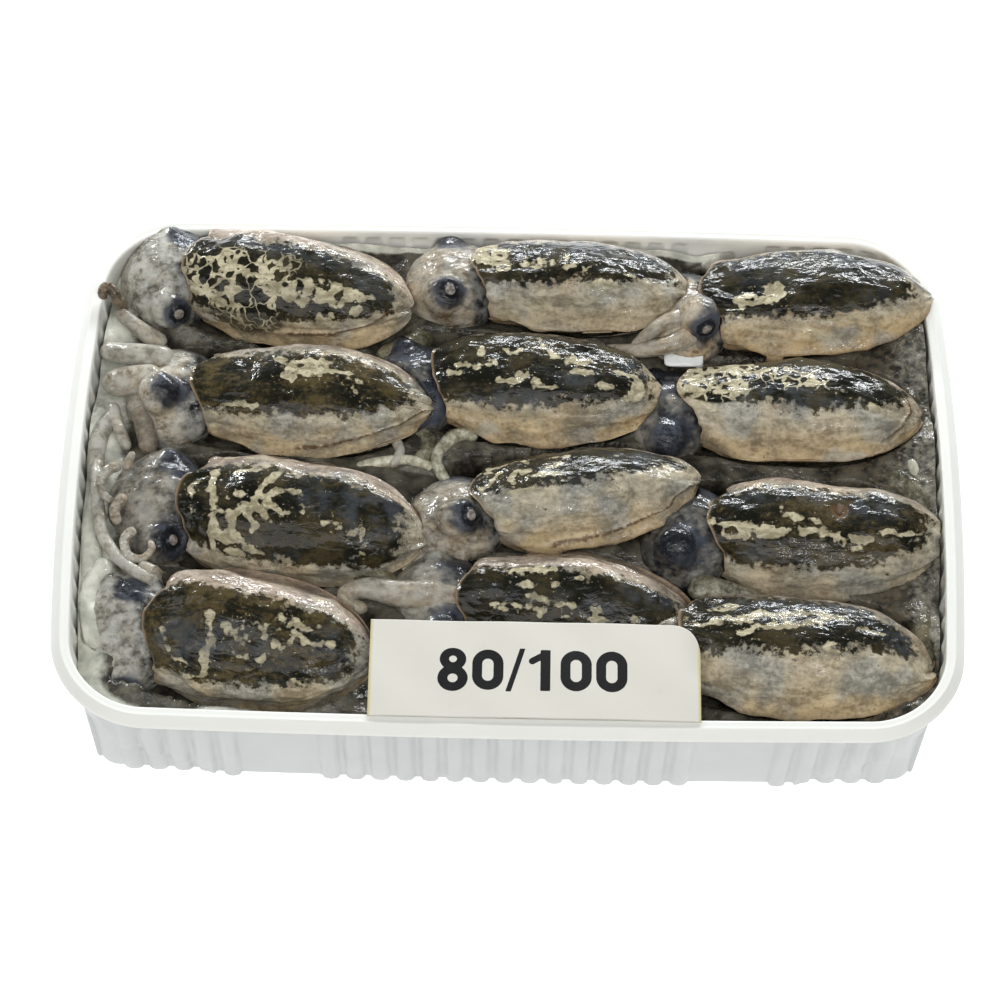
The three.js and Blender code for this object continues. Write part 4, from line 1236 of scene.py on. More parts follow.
# places, radius at the root and the tip, pale, tan, shade and if suckers show
LOOSE_ARMS = {
    "1a": [(((-133.9, 61.2, 50), (-136.1, 62.6, 54), (-138, 64.7, 57), (-140, 65.2, 58),
             (-141.1, 62.7, 58), (-139.7, 60.9, 57)), 2.5, 1.6, 0.0, 0.8, 0.6, True),
           (((-120, 50, 45), (-127, 53, 49), (-133, 57, 51), (-136, 60, 51)),
            3.4, 2.4, 0.5, 0.3, 0.1, False)],
    "2a": [(((-119, 33, 50), (-128, 32.5, 50), (-135, 31.5, 49.5), (-139, 30.5, 49)),
            6.0, 4.4, 0.9, 0.35, 0.0, True),
           (((-116, 40, 51), (-126, 42, 51), (-135, 44, 49.5), (-141, 46, 48)),
            4.6, 3.2, 0.9, 0.1, 0.0, False),
           (((-125.2, 22.8, 48), (-123.5, 15.3, 46.5), (-121.7, 6.7, 44)),
            4.2, 3.2, 0.2, 0.6, 0.5, False),
           (((-135.6, 24.4, 47), (-133, 16.5, 47.5), (-128.9, 7.3, 46)), 2.4, 1.9, 1.0, 0.1, 0.0, False),
           (((-134, 22, 45.5), (-138.5, 14, 46), (-139.5, 4, 46), (-138.5, -6, 45)),
            3.4, 2.8, 1.0, 0.0, 0.0, False)],
    "3a": [(((-138.5, 2, 47), (-138, -5.9, 48.5), (-136.4, -17.4, 49.5), (-133.3, -29.4, 50),
             (-125.9, -38.7, 50), (-117.4, -43.5, 49), (-109.3, -45.2, 46)),
            2.2, 2.1, 1.0, 0.15, 0.0, False),
           (((-130.1, -2.9, 53), (-133.9, -4.9, 53), (-136, -9, 52.5), (-134.7, -13.8, 52),
             (-131.5, -16.4, 52)), 2.0, 1.3, 0.8, 0.3, 0.1, True),
           (((-123.3, -27.1, 52.5), (-126.4, -30.4, 52), (-125.1, -35.8, 51), (-120.4, -37.2, 51),
             (-117.3, -34.1, 51.5), (-118.1, -30.9, 52)), 1.8, 1.2, 0.9, 0.4, 0.0, True),
           (((-127.9, -4.8, 53), (-126.8, -1.4, 54.5), (-125.5, 0.7, 56)),
            1.9, 1.2, 0.6, 0.5, 0.2, False),
           (((-128, -14, 52), (-130.5, -20, 52.5), (-129, -25, 52)), 2.2, 1.6, 0.6, 0.5, 0.1, True),
           (((-121, -38.5, 50), (-115.9, -41, 50), (-112.4, -41.2, 49)), 1.9, 1.5, 0.7, 0.4, 0.0, False)],
    "1c": [(((60.8, 68.7, 53), (50.3, 65.1, 55), (39.9, 59.4, 55), (31.4, 58.2, 54), (23.6, 58.1, 52)),
            3.6, 1.5, 0.5, 0.55, 0.1, False),
           (((62.2, 53.6, 54), (53.6, 49.3, 53.5), (43.4, 47.7, 52), (33.9, 48.8, 50), (26.5, 49.1, 48)),
            4.0, 1.5, 0.6, 0.6, 0.05, False),
           (((62, 60, 55), (52.5, 56.8, 55.5), (46.1, 52.6, 54.5), (40.7, 49.1, 51)),
            4.2, 1.6, 0.6, 0.5, 0.1, False)],
    "4b": [(((-12, -46, 43), (-24, -46, 46), (-36, -46.5, 47.5), (-46, -45, 48), (-53, -46.5, 47),
             (-52, -50, 46), (-46, -51, 45)), 6.4, 2.2, 0.7, 0.4, 0.15, False)],
    "3b": [(((-39.3, 14, 45), (-37.4, 8.6, 46.5), (-39.9, 2.3, 46.5)), 1.9, 1.6, 0.9, 0.1, 0.0, False)],
}
print("loose arms:", sum(len(arms) for arms in LOOSE_ARMS.values()))

# %% [markdown]
# ## The skin's finish
# Wet skin is dark and clear on top of paler flesh. The material lays its colours in the order in which
# they lie on the animal. Each step is a small function that takes the colour so far and gives the next.
# They share a few noises: soft ones of 12 mm, wavy ones of 3 mm, and fine ones that break every edge.

# %% Colours of the skin
PAINT = {  # the dark and the light end of each colour
    "grey": ((0.24, 0.215, 0.16), (0.55, 0.50, 0.38)),
    "warm": ((0.27, 0.18, 0.08), (0.63, 0.475, 0.26)),
    "ochre": ((0.25, 0.18, 0.10), (0.60, 0.48, 0.325)),
    "bluish": ((0.16, 0.165, 0.15), (0.46, 0.46, 0.42)),
    "pinkish": ((0.20, 0.15, 0.12), (0.50, 0.41, 0.345)),
    "back": ((0.006, 0.006, 0.003), (0.020, 0.018, 0.009)),
    "cream": ((0.28, 0.245, 0.155), (0.56, 0.51, 0.355)),
    "knob": ((0.07, 0.04, 0.02), (0.24, 0.15, 0.085)),
    "grey_head": ((0.10, 0.096, 0.078), (0.44, 0.415, 0.345)),
    "tan_head": ((0.15, 0.095, 0.043), (0.54, 0.415, 0.265)),
    "film": ((0.070, 0.080, 0.092), (0.54, 0.54, 0.495)),
    "halo": ((0.008, 0.010, 0.016), (0.06, 0.07, 0.092)),
    "lens": ((0.15, 0.13, 0.115), (0.42, 0.38, 0.335)),
}
TOUCH = {"belly": (0.19, 0.115, 0.05), "dots": (0.045, 0.036, 0.02), "olive": (0.085, 0.062, 0.024),
         "edge": (0.01, 0.008, 0.004), "crack": (0.20, 0.17, 0.10), "seam": (0.09, 0.045, 0.018),
         "lip": (0.38, 0.28, 0.18), "shade": (0.010, 0.011, 0.014), "sheen": (0.13, 0.14, 0.16),
         "pupil": (0.006, 0.007, 0.010)}
WET = {"IOR": 1.4, "Specular_IOR_Level": 0.1, "Coat_Weight": 1.0, "Coat_IOR": 1.29,
       "Coat_Roughness": 0.04}


def skin_noises(finish, place):
    """The noises that the skin's colours share, and where the net of pale lines lies."""
    patches = finish.noise(place, 15, 1, colour=True)
    return {"soft": finish.noise(place, 12, 2), "wave": finish.noise(place, 3.2, 1),
            "fine": finish.noise(place, 1.4, 3, 0.6), "grain": finish.noise(place, 0.5, 1),
            "streak": finish.noise(finish.stretch(place, 0.5), 2.6, 2, 0.6, 0.5),
            "patches": finish.node("SeparateColor", Color=patches, out=1),
            "in_net": finish.ramp(finish.mark("net"), 0.15, 0.5)}


def tone_of(finish, n, soft, streak, fine):
    """Soft, streaky and fine noise together, each with its share."""
    tone = finish.plus(finish.times(n["soft"], soft), finish.times(n["streak"], streak))
    return finish.plus(tone, finish.times(n["fine"], fine))


print("skin colours:", len(PAINT) + len(TOUCH))

# %% [markdown]
# ### Flesh and back
# The flanks are mottled grey with ochre and bluish patches, brown underneath and pinkish on the far side.
# Tiny dark dots of pigment thicken towards the back, where the black skin begins with a ragged edge.

# %% Flesh and back
FLESH = ("grey", "warm", "ochre", "bluish", "pinkish")


def flesh_colour(finish, n, tone):
    light = finish.ramp(tone, 0.38, 0.62)
    grey, warm, ochre, bluish, pinkish = (finish.blend(light, *PAINT[kind]) for kind in FLESH)
    tan = finish.times(finish.mark("tan"), finish.ramp(n["soft"], 0.3, 0.62, 0.4, 1.25))
    flesh = finish.blend(tan, grey, warm)
    flesh = finish.blend(finish.ramp(n["patches"], 0.52, 0.68, 0.0, 0.5), flesh, ochre)
    flesh = finish.blend(finish.ramp(n["patches"], 0.50, 0.36, 0.0, 0.6), flesh, bluish)
    flesh = finish.blend(finish.mark("pink"), flesh, pinkish)
    below = finish.times(finish.mark("under"), finish.ramp(n["streak"], 0.32, 0.6, 0.3, 0.8))
    flesh = finish.blend(below, flesh, TOUCH["belly"])
    near_dark = finish.ramp(finish.mark("dark"), -0.1, 0.5, 0.08, 0.95)
    dots = finish.times(near_dark, finish.ramp(n["wave"], 0.36, 0.6))
    dots = finish.times(finish.ramp(n["grain"], 0.54, 0.64), dots)
    return finish.blend(dots, flesh, TOUCH["dots"])


def add_back(finish, n, tone, flesh):
    olive = finish.times(finish.mark("olive"), finish.ramp(tone, 0.46, 0.60))
    back = finish.blend(finish.ramp(n["soft"], 0.35, 0.7), *PAINT["back"])
    back = finish.blend(olive, back, TOUCH["olive"])
    ragged = finish.stir(finish.mark("dark"), n["wave"], 1.1)
    ragged = finish.stir(finish.stir(ragged, n["fine"], 1.2), n["soft"], 0.9)
    return finish.blend(finish.most(finish.ramp(ragged, 0.30, 0.66), n["in_net"]), flesh, back)


print("flesh colours:", ", ".join(FLESH))

# %% [markdown]
# ### Pale marks
# The marks are stored as distances. Noise is added to a distance before it is compared with nought, so
# an oval becomes a blot with a wavy edge. Flecks lie round it, fine cracks run through it, and the skin
# beside it is darker. The net is a Voronoi pattern whose cells are bent by a noise.

# %% Pale marks, seams and knobs
def pale_net(finish, place, n):
    bend = finish.noise(place, 3.6, 1, colour=True)
    sway = finish.node("VectorMath", {"operation": "SCALE"}, Vector=bend, Scale=5.4)
    bent = finish.node("VectorMath", {"operation": "ADD"}, i0=place, i1=sway)
    cells = finish.node("TexVoronoi", {"feature": "DISTANCE_TO_EDGE"}, Vector=bent, Scale=1 / 5.2)
    width = finish.times(finish.mark("net"), finish.ramp(n["soft"], 0.34, 0.66, 0.03, 0.23))
    line = finish.ramp(finish.maths("SUBTRACT", cells, width), 0.03, -0.02)
    return finish.times(line, n["in_net"])


def add_pale_marks(finish, place, n, colour, netted):
    """The colour with its marks, and a number that says where the skin is pale."""
    edge = finish.stir(finish.most(finish.mark("blot"), -1.5), n["wave"], 5.5)
    edge = finish.stir(edge, n["fine"], 2.4)
    near_mark = finish.ramp(finish.mark("blot"), 4.5, 1.0, 0.0, 0.7)
    flecks = finish.times(finish.ramp(n["fine"], 0.65, 0.69), near_mark)
    pale = finish.most(finish.ramp(edge, 0.3, -0.45), flecks)
    if netted:
        pale = finish.most(pale, pale_net(finish, place, n))
    on_back = finish.ramp(finish.most(finish.mark("dark"), n["in_net"]), 0.05, 0.5, 0.4, 0.96)
    beside = finish.times(finish.ramp(edge, 1.4, 0.3), finish.ramp(on_back, 0.4, 0.95, 0.12, 0.7))
    colour = finish.blend(beside, colour, finish.blend(0.5, colour, TOUCH["edge"], "MULTIPLY"))
    cream = finish.blend(finish.ramp(n["streak"], 0.34, 0.64), *PAINT["cream"])
    cream = finish.blend(finish.ramp(n["fine"], 0.46, 0.34, 0.0, 0.6), cream, TOUCH["crack"])
    return finish.blend(finish.times(pale, on_back), colour, cream), pale


def add_small_parts(finish, n, colour):
    """Seams, knobs and the rolled lip."""
    seam = finish.ramp(finish.stir(finish.mark("seam"), n["fine"], 1.6), 0.8, 0.1)
    colour = finish.blend(finish.times(seam, 0.85), colour, TOUCH["seam"])
    knob = finish.blend(n["fine"], *PAINT["knob"])
    colour = finish.blend(finish.times(finish.mark("knob"), 0.9), colour, knob)
    return finish.blend(finish.times(finish.mark("lip"), 0.7), colour, TOUCH["lip"])


print("the net's cells are about 5 mm wide")

# %% [markdown]
# ### Head, film and eye
# A head is grey or tan, near black in patches where its face says so, and near black by the neck as
# painted shadow under the mantle's lip. A bluish film lies on the back in patches, and a whitish one on
# the head. The eye is drawn from the inside out: a pale lens, a black pupil round it and a dark blue halo
# with a wavy edge.

# %% Head, film and eye
def add_head(finish, n, colour):
    tone = finish.ramp(tone_of(finish, n, 0.35, 0.35, 0.3), 0.40, 0.60)
    tone = finish.ramp(finish.mark("smooth"), 0.0, 1.0, tone, 0.72)
    grey, tan = (finish.blend(tone, *PAINT[kind]) for kind in ("grey_head", "tan_head"))
    head = finish.blend(finish.mark("tan"), grey, tan)
    patchy = finish.ramp(n["wave"], 0.34, 0.62, 1.2, 0.8)
    # the dark mark on a head is painted shadow by the neck, under the mantle's lip, and elsewhere the
    # face's own share of near-black patches
    shade = finish.times(finish.mark("dark"), patchy, clamp=True)
    return finish.blend(finish.mark("head"), colour, finish.blend(shade, head, TOUCH["shade"]))


def add_film(finish, place, colour):
    veil = finish.ramp(finish.noise(place, 5, 3, 0.6), 0.36, 0.64)
    veil = finish.times(finish.mark("film"), veil)
    film = finish.blend(finish.mark("head"), *PAINT["film"])
    return finish.blend(finish.times(veil, 0.62), colour, film)


def add_eye(finish, n, colour):
    halo = finish.blend(finish.ramp(n["soft"], 0.38, 0.66), *PAINT["halo"])
    halo = finish.blend(finish.ramp(n["grain"], 0.58, 0.7, 0.0, 0.35), halo, TOUCH["sheen"])
    dim = finish.stir(finish.mark("eye"), n["wave"], 3.4)
    colour = finish.blend(finish.ramp(dim, 8.2, 4.8, 0.0, 0.94), colour, halo)
    iris = finish.stir(finish.mark("eye"), n["fine"], 2.4)
    colour = finish.blend(finish.ramp(iris, 4.2, 3.2, 0.0, 0.9), colour, TOUCH["pupil"])
    lens = finish.blend(finish.ramp(n["fine"], 0.35, 0.65), *PAINT["lens"])
    return finish.blend(finish.ramp(finish.mark("eye"), 2.0, 1.6, 0.0, 0.88), colour, lens)


print("an eye's lens reaches", EYE["lens"], "mm from its middle")

# %% [markdown]
# ### The wet surface
# What makes skin look wet is a thin smooth coat over a duller surface. The coat's low index keeps the
# black backs black, and a bump of fine folds breaks its highlights into short pieces.

# %% The skin material
def wet_skin(name, netted):
    finish = Finish(name)
    place = finish.place()
    n = skin_noises(finish, place)
    tone = tone_of(finish, n, 0.4, 0.3, 0.3)
    colour = add_back(finish, n, tone, flesh_colour(finish, n, tone))
    colour, pale = add_pale_marks(finish, place, n, colour, netted)
    colour = add_head(finish, n, add_small_parts(finish, n, colour))
    colour = add_eye(finish, n, add_film(finish, place, colour))
    folds = finish.noise(finish.stretch(place, 0.55), 2.8, 2, 0.5, 0.6)
    normal = finish.bump(finish.plus(folds, finish.times(n["grain"], 0.08)), 0.5)
    rough = finish.plus(finish.ramp(n["soft"], 0.3, 0.7, 0.32, 0.5), finish.times(pale, 0.1))
    return finish.finish(Base_Color=colour, Roughness=rough, Normal=normal, Coat_Normal=normal, **WET)


SKIN = wet_skin("wet_skin", False)
NETTED_SKIN = wet_skin("wet_netted_skin", True)
print("skin nodes:", len(SKIN.node_tree.nodes), "and", len(NETTED_SKIN.node_tree.nodes))

# %% [markdown]
# ## Laying the animals down
# The rows nearer the camera lie on those behind them, and in each row a tail lies on the next animal's
# arms. Soft bodies press, so a point that falls inside a body on top of it is lowered to just beneath
# that body, where it doesn't show. No point is left in the tray's wall.

# %% Press and place the animals
def press(points, spec, gap=0.6):
    """Lowers points that fall inside another animal's mantle to below it, where they don't show."""
    length, width, thickness = spec["size"]
    local = pick_up(spec, points)
    u = np.clip(local[:, 0] / length + 0.5, 0, 1)
    half = np.maximum((width / 2 - FIN["reach"] * 0.5) * width_share(u), 0.01) + 0.7
    across = np.clip(1 - np.abs(local[:, 1] / half) ** (2 / SECTION["power"]), 0, 1)
    across = across ** (SECTION["power"] / 2)
    top = thickness * SECTION["above"] * thickness_share(u) * across + 0.8
    bottom = -thickness * SECTION["below"] * thickness_share(u) * across - gap
    inside = (across > 0) & (np.abs(local[:, 0]) < length / 2)
    inside &= (local[:, 2] < top) & (local[:, 2] > bottom)
    local[:, 2] = np.where(inside, bottom, local[:, 2])
    return set_down(spec, local)


SEED_STEP = 11  # so that no two animals share a seed


def lay_down(name, index, above):
    spec = ANIMALS[name]
    arms = [loose_arm(*arm) for arm in LOOSE_ARMS.get(name, [])]
    mantle, head = build_mantle(spec, SEED_STEP * index), build_head(spec, SEED_STEP * index + 5)
    points, faces, marks = join_parts([mantle, head, *arms])
    for other in above:
        points = press(points, ANIMALS[other])
    points = keep_inside(points)
    skin = NETTED_SKIN if "net" in spec else SKIN
    body = make_object(f"cuttlefish_body_{name}", points, faces, skin, marks)
    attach(body, "root")
    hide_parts(f"cuttlefish_{name}")
    return body


order = sorted(ANIMALS, key=lambda name: (-int(name[0]), name[1]))
for index, name in enumerate(order):
    body = lay_down(name, index + 1, order[:index])
    print(name, "faces", len(body.data.polygons))

# %% [markdown]
# ## The layer below
# Between the animals shows the layer below them: bodies, arms and loose tentacles, frozen into grey
# juice. It is one sheet with the CAD bed's own heights, made finer. It climbs at the side of every body
# that lies on it and dips beneath it. Lower bodies and tentacles lie on it where they show in the gaps.

# %% Heights of the bed
BED = {"level": 41.0, "rise": 0.045, "lump": 1.2}
MOUNDS = [(-141, 8, 20, 5), (-139, -36, 22, 5), (-128, -84, 18, 6), (-92, -94, 20, 6),
          (-50, -94, 16, 5), (142, 52, 18, 6), (142, 12, 18, 6), (142, -26, 18, 6),
          (136, -60, 16, 6), (128, -88, 18, 6)]  # place, reach and height
FINER = ((1.2, 13, 71, 1), (0.8, 5, 72, 0.5), (0.25, 2.2, 73, 1))  # height, width, seed, squeeze
JUICE = {"climb": 3.4, "lowest": 14}


def bed_height(x, y):
    """The CAD bed's height, with finer lumps on it."""
    swell = np.sin(x * 0.11 + 1.3) * np.cos(y * 0.17 + 0.4) + 0.6 * np.sin(x * 0.23 - y * 0.19)
    height = BED["level"] + BED["rise"] * y + BED["lump"] * swell
    mound = np.zeros(x.shape)
    for mound_x, mound_y, reach, high in MOUNDS:
        mound = np.maximum(mound, high * np.exp(-((x - mound_x) ** 2 + (y - mound_y) ** 2) / reach**2))
    spot = np.stack([x, y, np.zeros(x.shape)], -1)
    for high, wide, seed, squeeze in FINER:
        height = height + high * lumps(spot * [1, squeeze, 1], wide, seed)
    return height + mound


def cling(points, spec):
    """How much the juice rises towards an animal's side, from 0 to 1."""
    length, width, _ = spec["size"]
    local = pick_up(spec, points)
    reach = np.hypot(local[:, 0] / (length / 2 + 12), local[:, 1] / (width / 2 + 5))
    return smooth_step(-reach, -1.35, -0.98)


def dip_under(points, spec):
    """Lowers points of the bed that would be inside an animal to just below it."""
    length, width, thickness = spec["size"]
    local = pick_up(spec, points)
    u = np.clip(local[:, 0] / length + 0.5, 0, 1)
    half = (width / 2 + 0.5) * width_share(u)
    inside = (np.abs(local[:, 0]) < length / 2 + 6) & (np.abs(local[:, 1]) < half + 0.5)
    across = np.clip(1 - (local[:, 1] / np.maximum(half, 1)) ** 2, 0, 1) ** (SECTION["power"] / 2)
    floor = -thickness * SECTION["below"] * thickness_share(u) * across - 0.8
    drop = np.where(inside, np.minimum(floor - local[:, 2], 0), 0)
    return points + drop[:, None] * [0, 0, 1]


def bed_middle():
    return float(bed_height(np.zeros(1), np.zeros(1))[0])


def bed_sheet():
    rows, ring = 76, wall_ring(BED["level"], 0.2, 0.0)[::2]
    share = np.linspace(1, 0, rows, endpoint=False) ** 0.9
    flat = ring[None] * share[:, None, None]
    height = bed_height(flat[..., 0], flat[..., 1])
    points = np.concatenate([flat, height[..., None]], -1).reshape(-1, 3)
    points = np.concatenate([points, [[0, 0, bed_middle()]]])
    points[:, 2] += JUICE["climb"] * np.maximum.reduce([cling(points, spec) for spec in ANIMALS.values()])
    for spec in ANIMALS.values():
        points = dip_under(points, spec)
    points[:, 2] = np.maximum(points[:, 2], JUICE["lowest"])
    faces = ring_faces(rows, len(ring))
    faces += cap_faces((rows - 1) * len(ring), len(ring), len(points) - 1)
    wall_near = 1 - share[np.minimum(np.arange(len(points)) // len(ring), rows - 1)]
    # the juice is milky along the left and darker at the right
    x = points[:, 0]
    pale = np.maximum(1.1 * smooth_step(-x, 124, 138), 0.4 * smooth_step(x, 118, 136))
    # by the wall the juice is painted pale: painted light where the sheet lies in the wall's shade
    pale = np.maximum(pale, np.where(x < 100, 1.2, 0.3) * smooth_step(-wall_near, -0.05, -0.015))
    return points, faces, {"pale": pale, "tan": 0.25 + 0.5 * smooth_step(x, 60, 130), "flesh": 0.0 * x}


print("bed at the middle:", round(bed_middle(), 1), "mm")

# %% Loose tentacles and lower bodies
TENTACLES = [  # places, radius at the root and the tip, how pale, and how much flesh shows
    (((-52, 4, 43), (-44, 5, 45.2), (-34, 5.5, 45.8), (-26, 4, 44)), 2.0, 1.7, 0.7, 1.0),
    (((-12, 18, 43), (-20, 15, 45.6), (-25, 6, 46), (-21, -3, 44)), 2.6, 1.9, 0.6, 1.0),
    (((-34, 20, 43), (-28, 13, 45.5), (-32, 4, 44)), 3.2, 2.4, 0.35, 1.0),
    (((136, 66, 42), (138, 50, 44), (135, 36, 42)), 5.5, 4.6, 0.3, 0.7),
    (((128, 44, 41), (136, 34, 43), (138, 20, 43), (136, 8, 42)), 5.4, 4.2, 0.3, 0.7),
    (((126, 4, 42), (134, 0, 43.4), (137, -10, 43.4), (136, -24, 41)), 5.2, 4.0, 0.35, 0.7),
    (((134.5, 9, 46.5), (135.5, 6, 47.2), (136, 3, 46.5)), 2.4, 1.6, 1.0, 0.6),
    (((134, -46, 41), (136, -58, 43), (133, -70, 41)), 5.2, 4.0, 0.25, 0.7),
    (((60, -38, 42), (72, -42, 43.4), (84, -45, 41)), 5.0, 4.0, 0.4, 0.8),
    (((-58, -34, 40), (-48, -36, 42), (-36, -40, 41)), 4.0, 3.0, 0.3, 1.0),
    (((-30, 58, 44), (-36, 51, 45.4), (-47, 47, 44)), 4.4, 3.6, 0.3, 1.0),
    (((-134, -34, 42.5), (-137, -50, 43.5), (-133, -66, 43)), 4.2, 3.6, 1.1, 0.0),
    (((-137, -8, 43), (-138.5, -24, 44), (-137, -42, 43)), 4.0, 3.4, 1.1, 0.0),
]


def lower_things():
    parts = []
    for index, (path, root, tip, pale, flesh) in enumerate(TENTACLES):
        points, faces = tube(path, root, tip, sides=20, spacing=0.7)
        uneven = 0.35 * lumps(points, 5, 80 + index) + 0.12 * lumps(points, 2, 90)
        points = keep_inside(points + vertex_normals(points, faces) * uneven[:, None])
        marks = {"pale": pale, "tan": 0.3, "flesh": flesh}
        marks = {mark: np.full(len(points), value) for mark, value in marks.items()}
        parts.append((points, faces, marks))
    return parts


# milky is the pale juice's colour, and also the painted light on the juice by the wall
ICE = {"grey": ((0.020, 0.020, 0.017), (0.115, 0.108, 0.083)), "tan": (0.13, 0.10, 0.065),
       "milky": ((0.42, 0.43, 0.37), (0.78, 0.78, 0.69)),
       "cream": ((0.36, 0.345, 0.25), (0.66, 0.645, 0.52)),
       "dusk": ((0.06, 0.055, 0.03), (0.15, 0.13, 0.075))}
GLAZE = {"IOR": 1.36, "Specular_IOR_Level": 0.1, "Coat_Weight": 1.0, "Coat_IOR": 1.33,
         "Coat_Roughness": 0.05}


def frozen_juice():
    finish = Finish("frozen_juice")
    place = finish.place()
    soft = finish.noise(place, 9, 2)
    fine = finish.noise(place, 2.2, 3, 0.6)
    grey = finish.blend(finish.ramp(soft, 0.35, 0.65), *ICE["grey"])
    tan = finish.times(finish.mark("tan"), finish.ramp(fine, 0.4, 0.65))
    grey = finish.blend(tan, grey, ICE["tan"])
    milky = finish.blend(finish.ramp(soft, 0.3, 0.7), *ICE["milky"])
    share = finish.stir(finish.mark("pale"), fine, 0.6)
    colour = finish.blend(finish.ramp(share, 0.25, 0.85), grey, milky)
    cream = finish.blend(finish.ramp(fine, 0.3, 0.7), *ICE["cream"])
    dusk = finish.blend(finish.ramp(soft, 0.35, 0.65), *ICE["dusk"])
    meat = finish.blend(finish.ramp(share, 0.2, 0.8), dusk, cream)
    colour = finish.blend(finish.mark("flesh"), colour, meat)
    relief = finish.bump(finish.noise(place, 3.2, 3), 1.1)
    rough = finish.ramp(soft, 0.3, 0.7, 0.2, 0.42)
    return finish.finish(Base_Color=colour, Roughness=rough, Normal=relief, Coat_Normal=relief, **GLAZE)


def add_bed():
    points, faces, marks = join_parts([bed_sheet(), *lower_things()])
    bed = make_object("layer_below", points, faces, frozen_juice(), marks)
    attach(bed, "root")
    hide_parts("bed")
    return bed


print("bed faces", len(add_bed().data.polygons))

# %% [markdown]
# ## The paper label
# The label is a strip of thick paper that lies from the front rim up to the front row, with one corner
# curled over. It is one grid bent by a rule and given its thickness by a second layer. Its digits are
# plain and generic. They are a mask drawn from bars and rings by distance, on the paper's own points,
# so nothing is written with a font.

# %% Paper and numerals
LABEL = {"length": 106.0, "depth": 33.5, "centre": (8.8, -77.7), "low": 54.8, "high": 56.5, "cut": 9.0}
DIGIT = {"high": 14.2, "wide": 10.0, "stroke": 3.2}


def zero_distance(x, y):
    """Distance inside the stroke of a zero that stands at the origin, negative in the ink."""
    straight = (DIGIT["high"] - DIGIT["wide"]) / 2
    ring = np.hypot(x, np.maximum(np.abs(y) - straight, 0)) - (DIGIT["wide"] - DIGIT["stroke"]) / 2
    return np.abs(ring) - DIGIT["stroke"] / 2


def one_distance(x, y):
    bar = np.maximum(np.abs(x - 1.2) - DIGIT["stroke"] / 2, np.abs(y) - DIGIT["high"] / 2)
    along = np.clip(((x + 3) * 0.8 + (y - 3.2) * 0.6) / 5.4, 0, 1)
    flag = np.hypot(x + 3 - along * 4.3, y - 3.2 - along * 2.4) - 1.15
    return np.minimum(bar, np.maximum(flag, y - DIGIT["high"] / 2))


def eight_distance(x, y):
    upper = np.abs(np.hypot(x, (y - 3.5) * 1.08) - 2.75) - DIGIT["stroke"] * 0.47
    lower = np.abs(np.hypot(x * 0.93, y + 3.1) - 3.0) - DIGIT["stroke"] * 0.47
    return np.minimum(upper, lower)


def slash_distance(x, y):
    across = np.abs(x - y * 0.3) * 0.96 - 0.85
    return np.maximum(across, np.abs(y) - DIGIT["high"] / 2 - 0.4)


def ink_distance(x, y):
    """The numerals 80/100, centred on the paper."""
    signs = [(-26.2, eight_distance), (-15.0, zero_distance), (-6.2, slash_distance),
             (2.2, one_distance), (13.2, zero_distance), (24.6, zero_distance)]
    return np.minimum.reduce([sign(x - at, y) for at, sign in signs])


def paper_grid():
    """The sheet seen flat: points across and up, with the clipped corner pulled in."""
    x = np.linspace(-LABEL["length"] / 2, LABEL["length"] / 2, 320)
    y = np.linspace(-LABEL["depth"] / 2, LABEL["depth"] / 2, 104)
    across, up = np.meshgrid(x, y)
    cut_x, cut_y = LABEL["cut"], LABEL["cut"] * 1.3
    corner_x, corner_y = LABEL["length"] / 2 - cut_x, LABEL["depth"] / 2 - cut_y
    over_x, over_y = np.maximum(across - corner_x, 0) / cut_x, np.maximum(up - corner_y, 0) / cut_y
    reach = np.hypot(over_x, over_y)
    pull = np.where(reach > 0, np.maximum(over_x, over_y) / np.maximum(reach, TINY), 1)
    across = np.where(over_x * over_y > 0, corner_x + (across - corner_x) * pull, across)
    up = np.where(over_x * over_y > 0, corner_y + (up - corner_y) * pull, up)
    return across, up


def paper_height(across, up):
    share = up / LABEL["depth"] + 0.5
    flat = LABEL["low"] + (LABEL["high"] - LABEL["low"]) * share
    sway = 0.25 * np.sin(across * 0.07 + 0.6) + 0.2 * np.sin(across * 0.19 + up * 0.2)
    curl = 2.2 * smooth_step(across, 42, 54) ** 2 * smooth_step(up, -2, 17)
    lift = 0.8 * smooth_step(np.abs(across), 46, 54) * smooth_step(-up, 4, 17)
    return flat + sway * 0.7 + curl - lift * 0.4


PAPER = {"sheet": ((0.665, 0.65, 0.585), (0.70, 0.685, 0.63)), "fibre": (0.62, 0.59, 0.505),
         "edge": (0.58, 0.51, 0.25), "damp": (0.57, 0.535, 0.44),
         "ink": ((0.006, 0.006, 0.007), (0.016, 0.016, 0.017))}


def label_paper():
    finish = Finish("label_paper")
    place = finish.place()
    cloud = finish.noise(place, 30, 3)
    fibre = finish.noise(finish.stretch(place, 0.4, 1.6), 0.5, 5, 0.7)
    colour = finish.blend(cloud, *PAPER["sheet"])
    colour = finish.blend(finish.ramp(fibre, 0.45, 0.8, 0, 0.3), colour, PAPER["fibre"])
    border = finish.ramp(finish.plus(finish.mark("border"), finish.times(fibre, 0.5)), 1.5, 0.5)
    colour = finish.blend(finish.times(border, 0.85), colour, PAPER["edge"])
    damp = finish.times(finish.ramp(finish.noise(place, 11, 4), 0.6, 0.72), 0.25)
    colour = finish.blend(damp, colour, PAPER["damp"])
    ink = finish.ramp(finish.stir(finish.mark("ink"), fibre, 0.22), 0.06, -0.06)
    colour = finish.blend(ink, colour, finish.blend(finish.ramp(fibre, 0.3, 0.8), *PAPER["ink"]))
    relief = finish.bump(fibre, 0.03)
    rough = finish.ramp(cloud, 0.3, 0.7, 0.42, 0.6)
    return finish.finish(Base_Color=colour, Roughness=rough, Normal=relief, IOR=1.45,
                         Specular_IOR_Level=0.3)


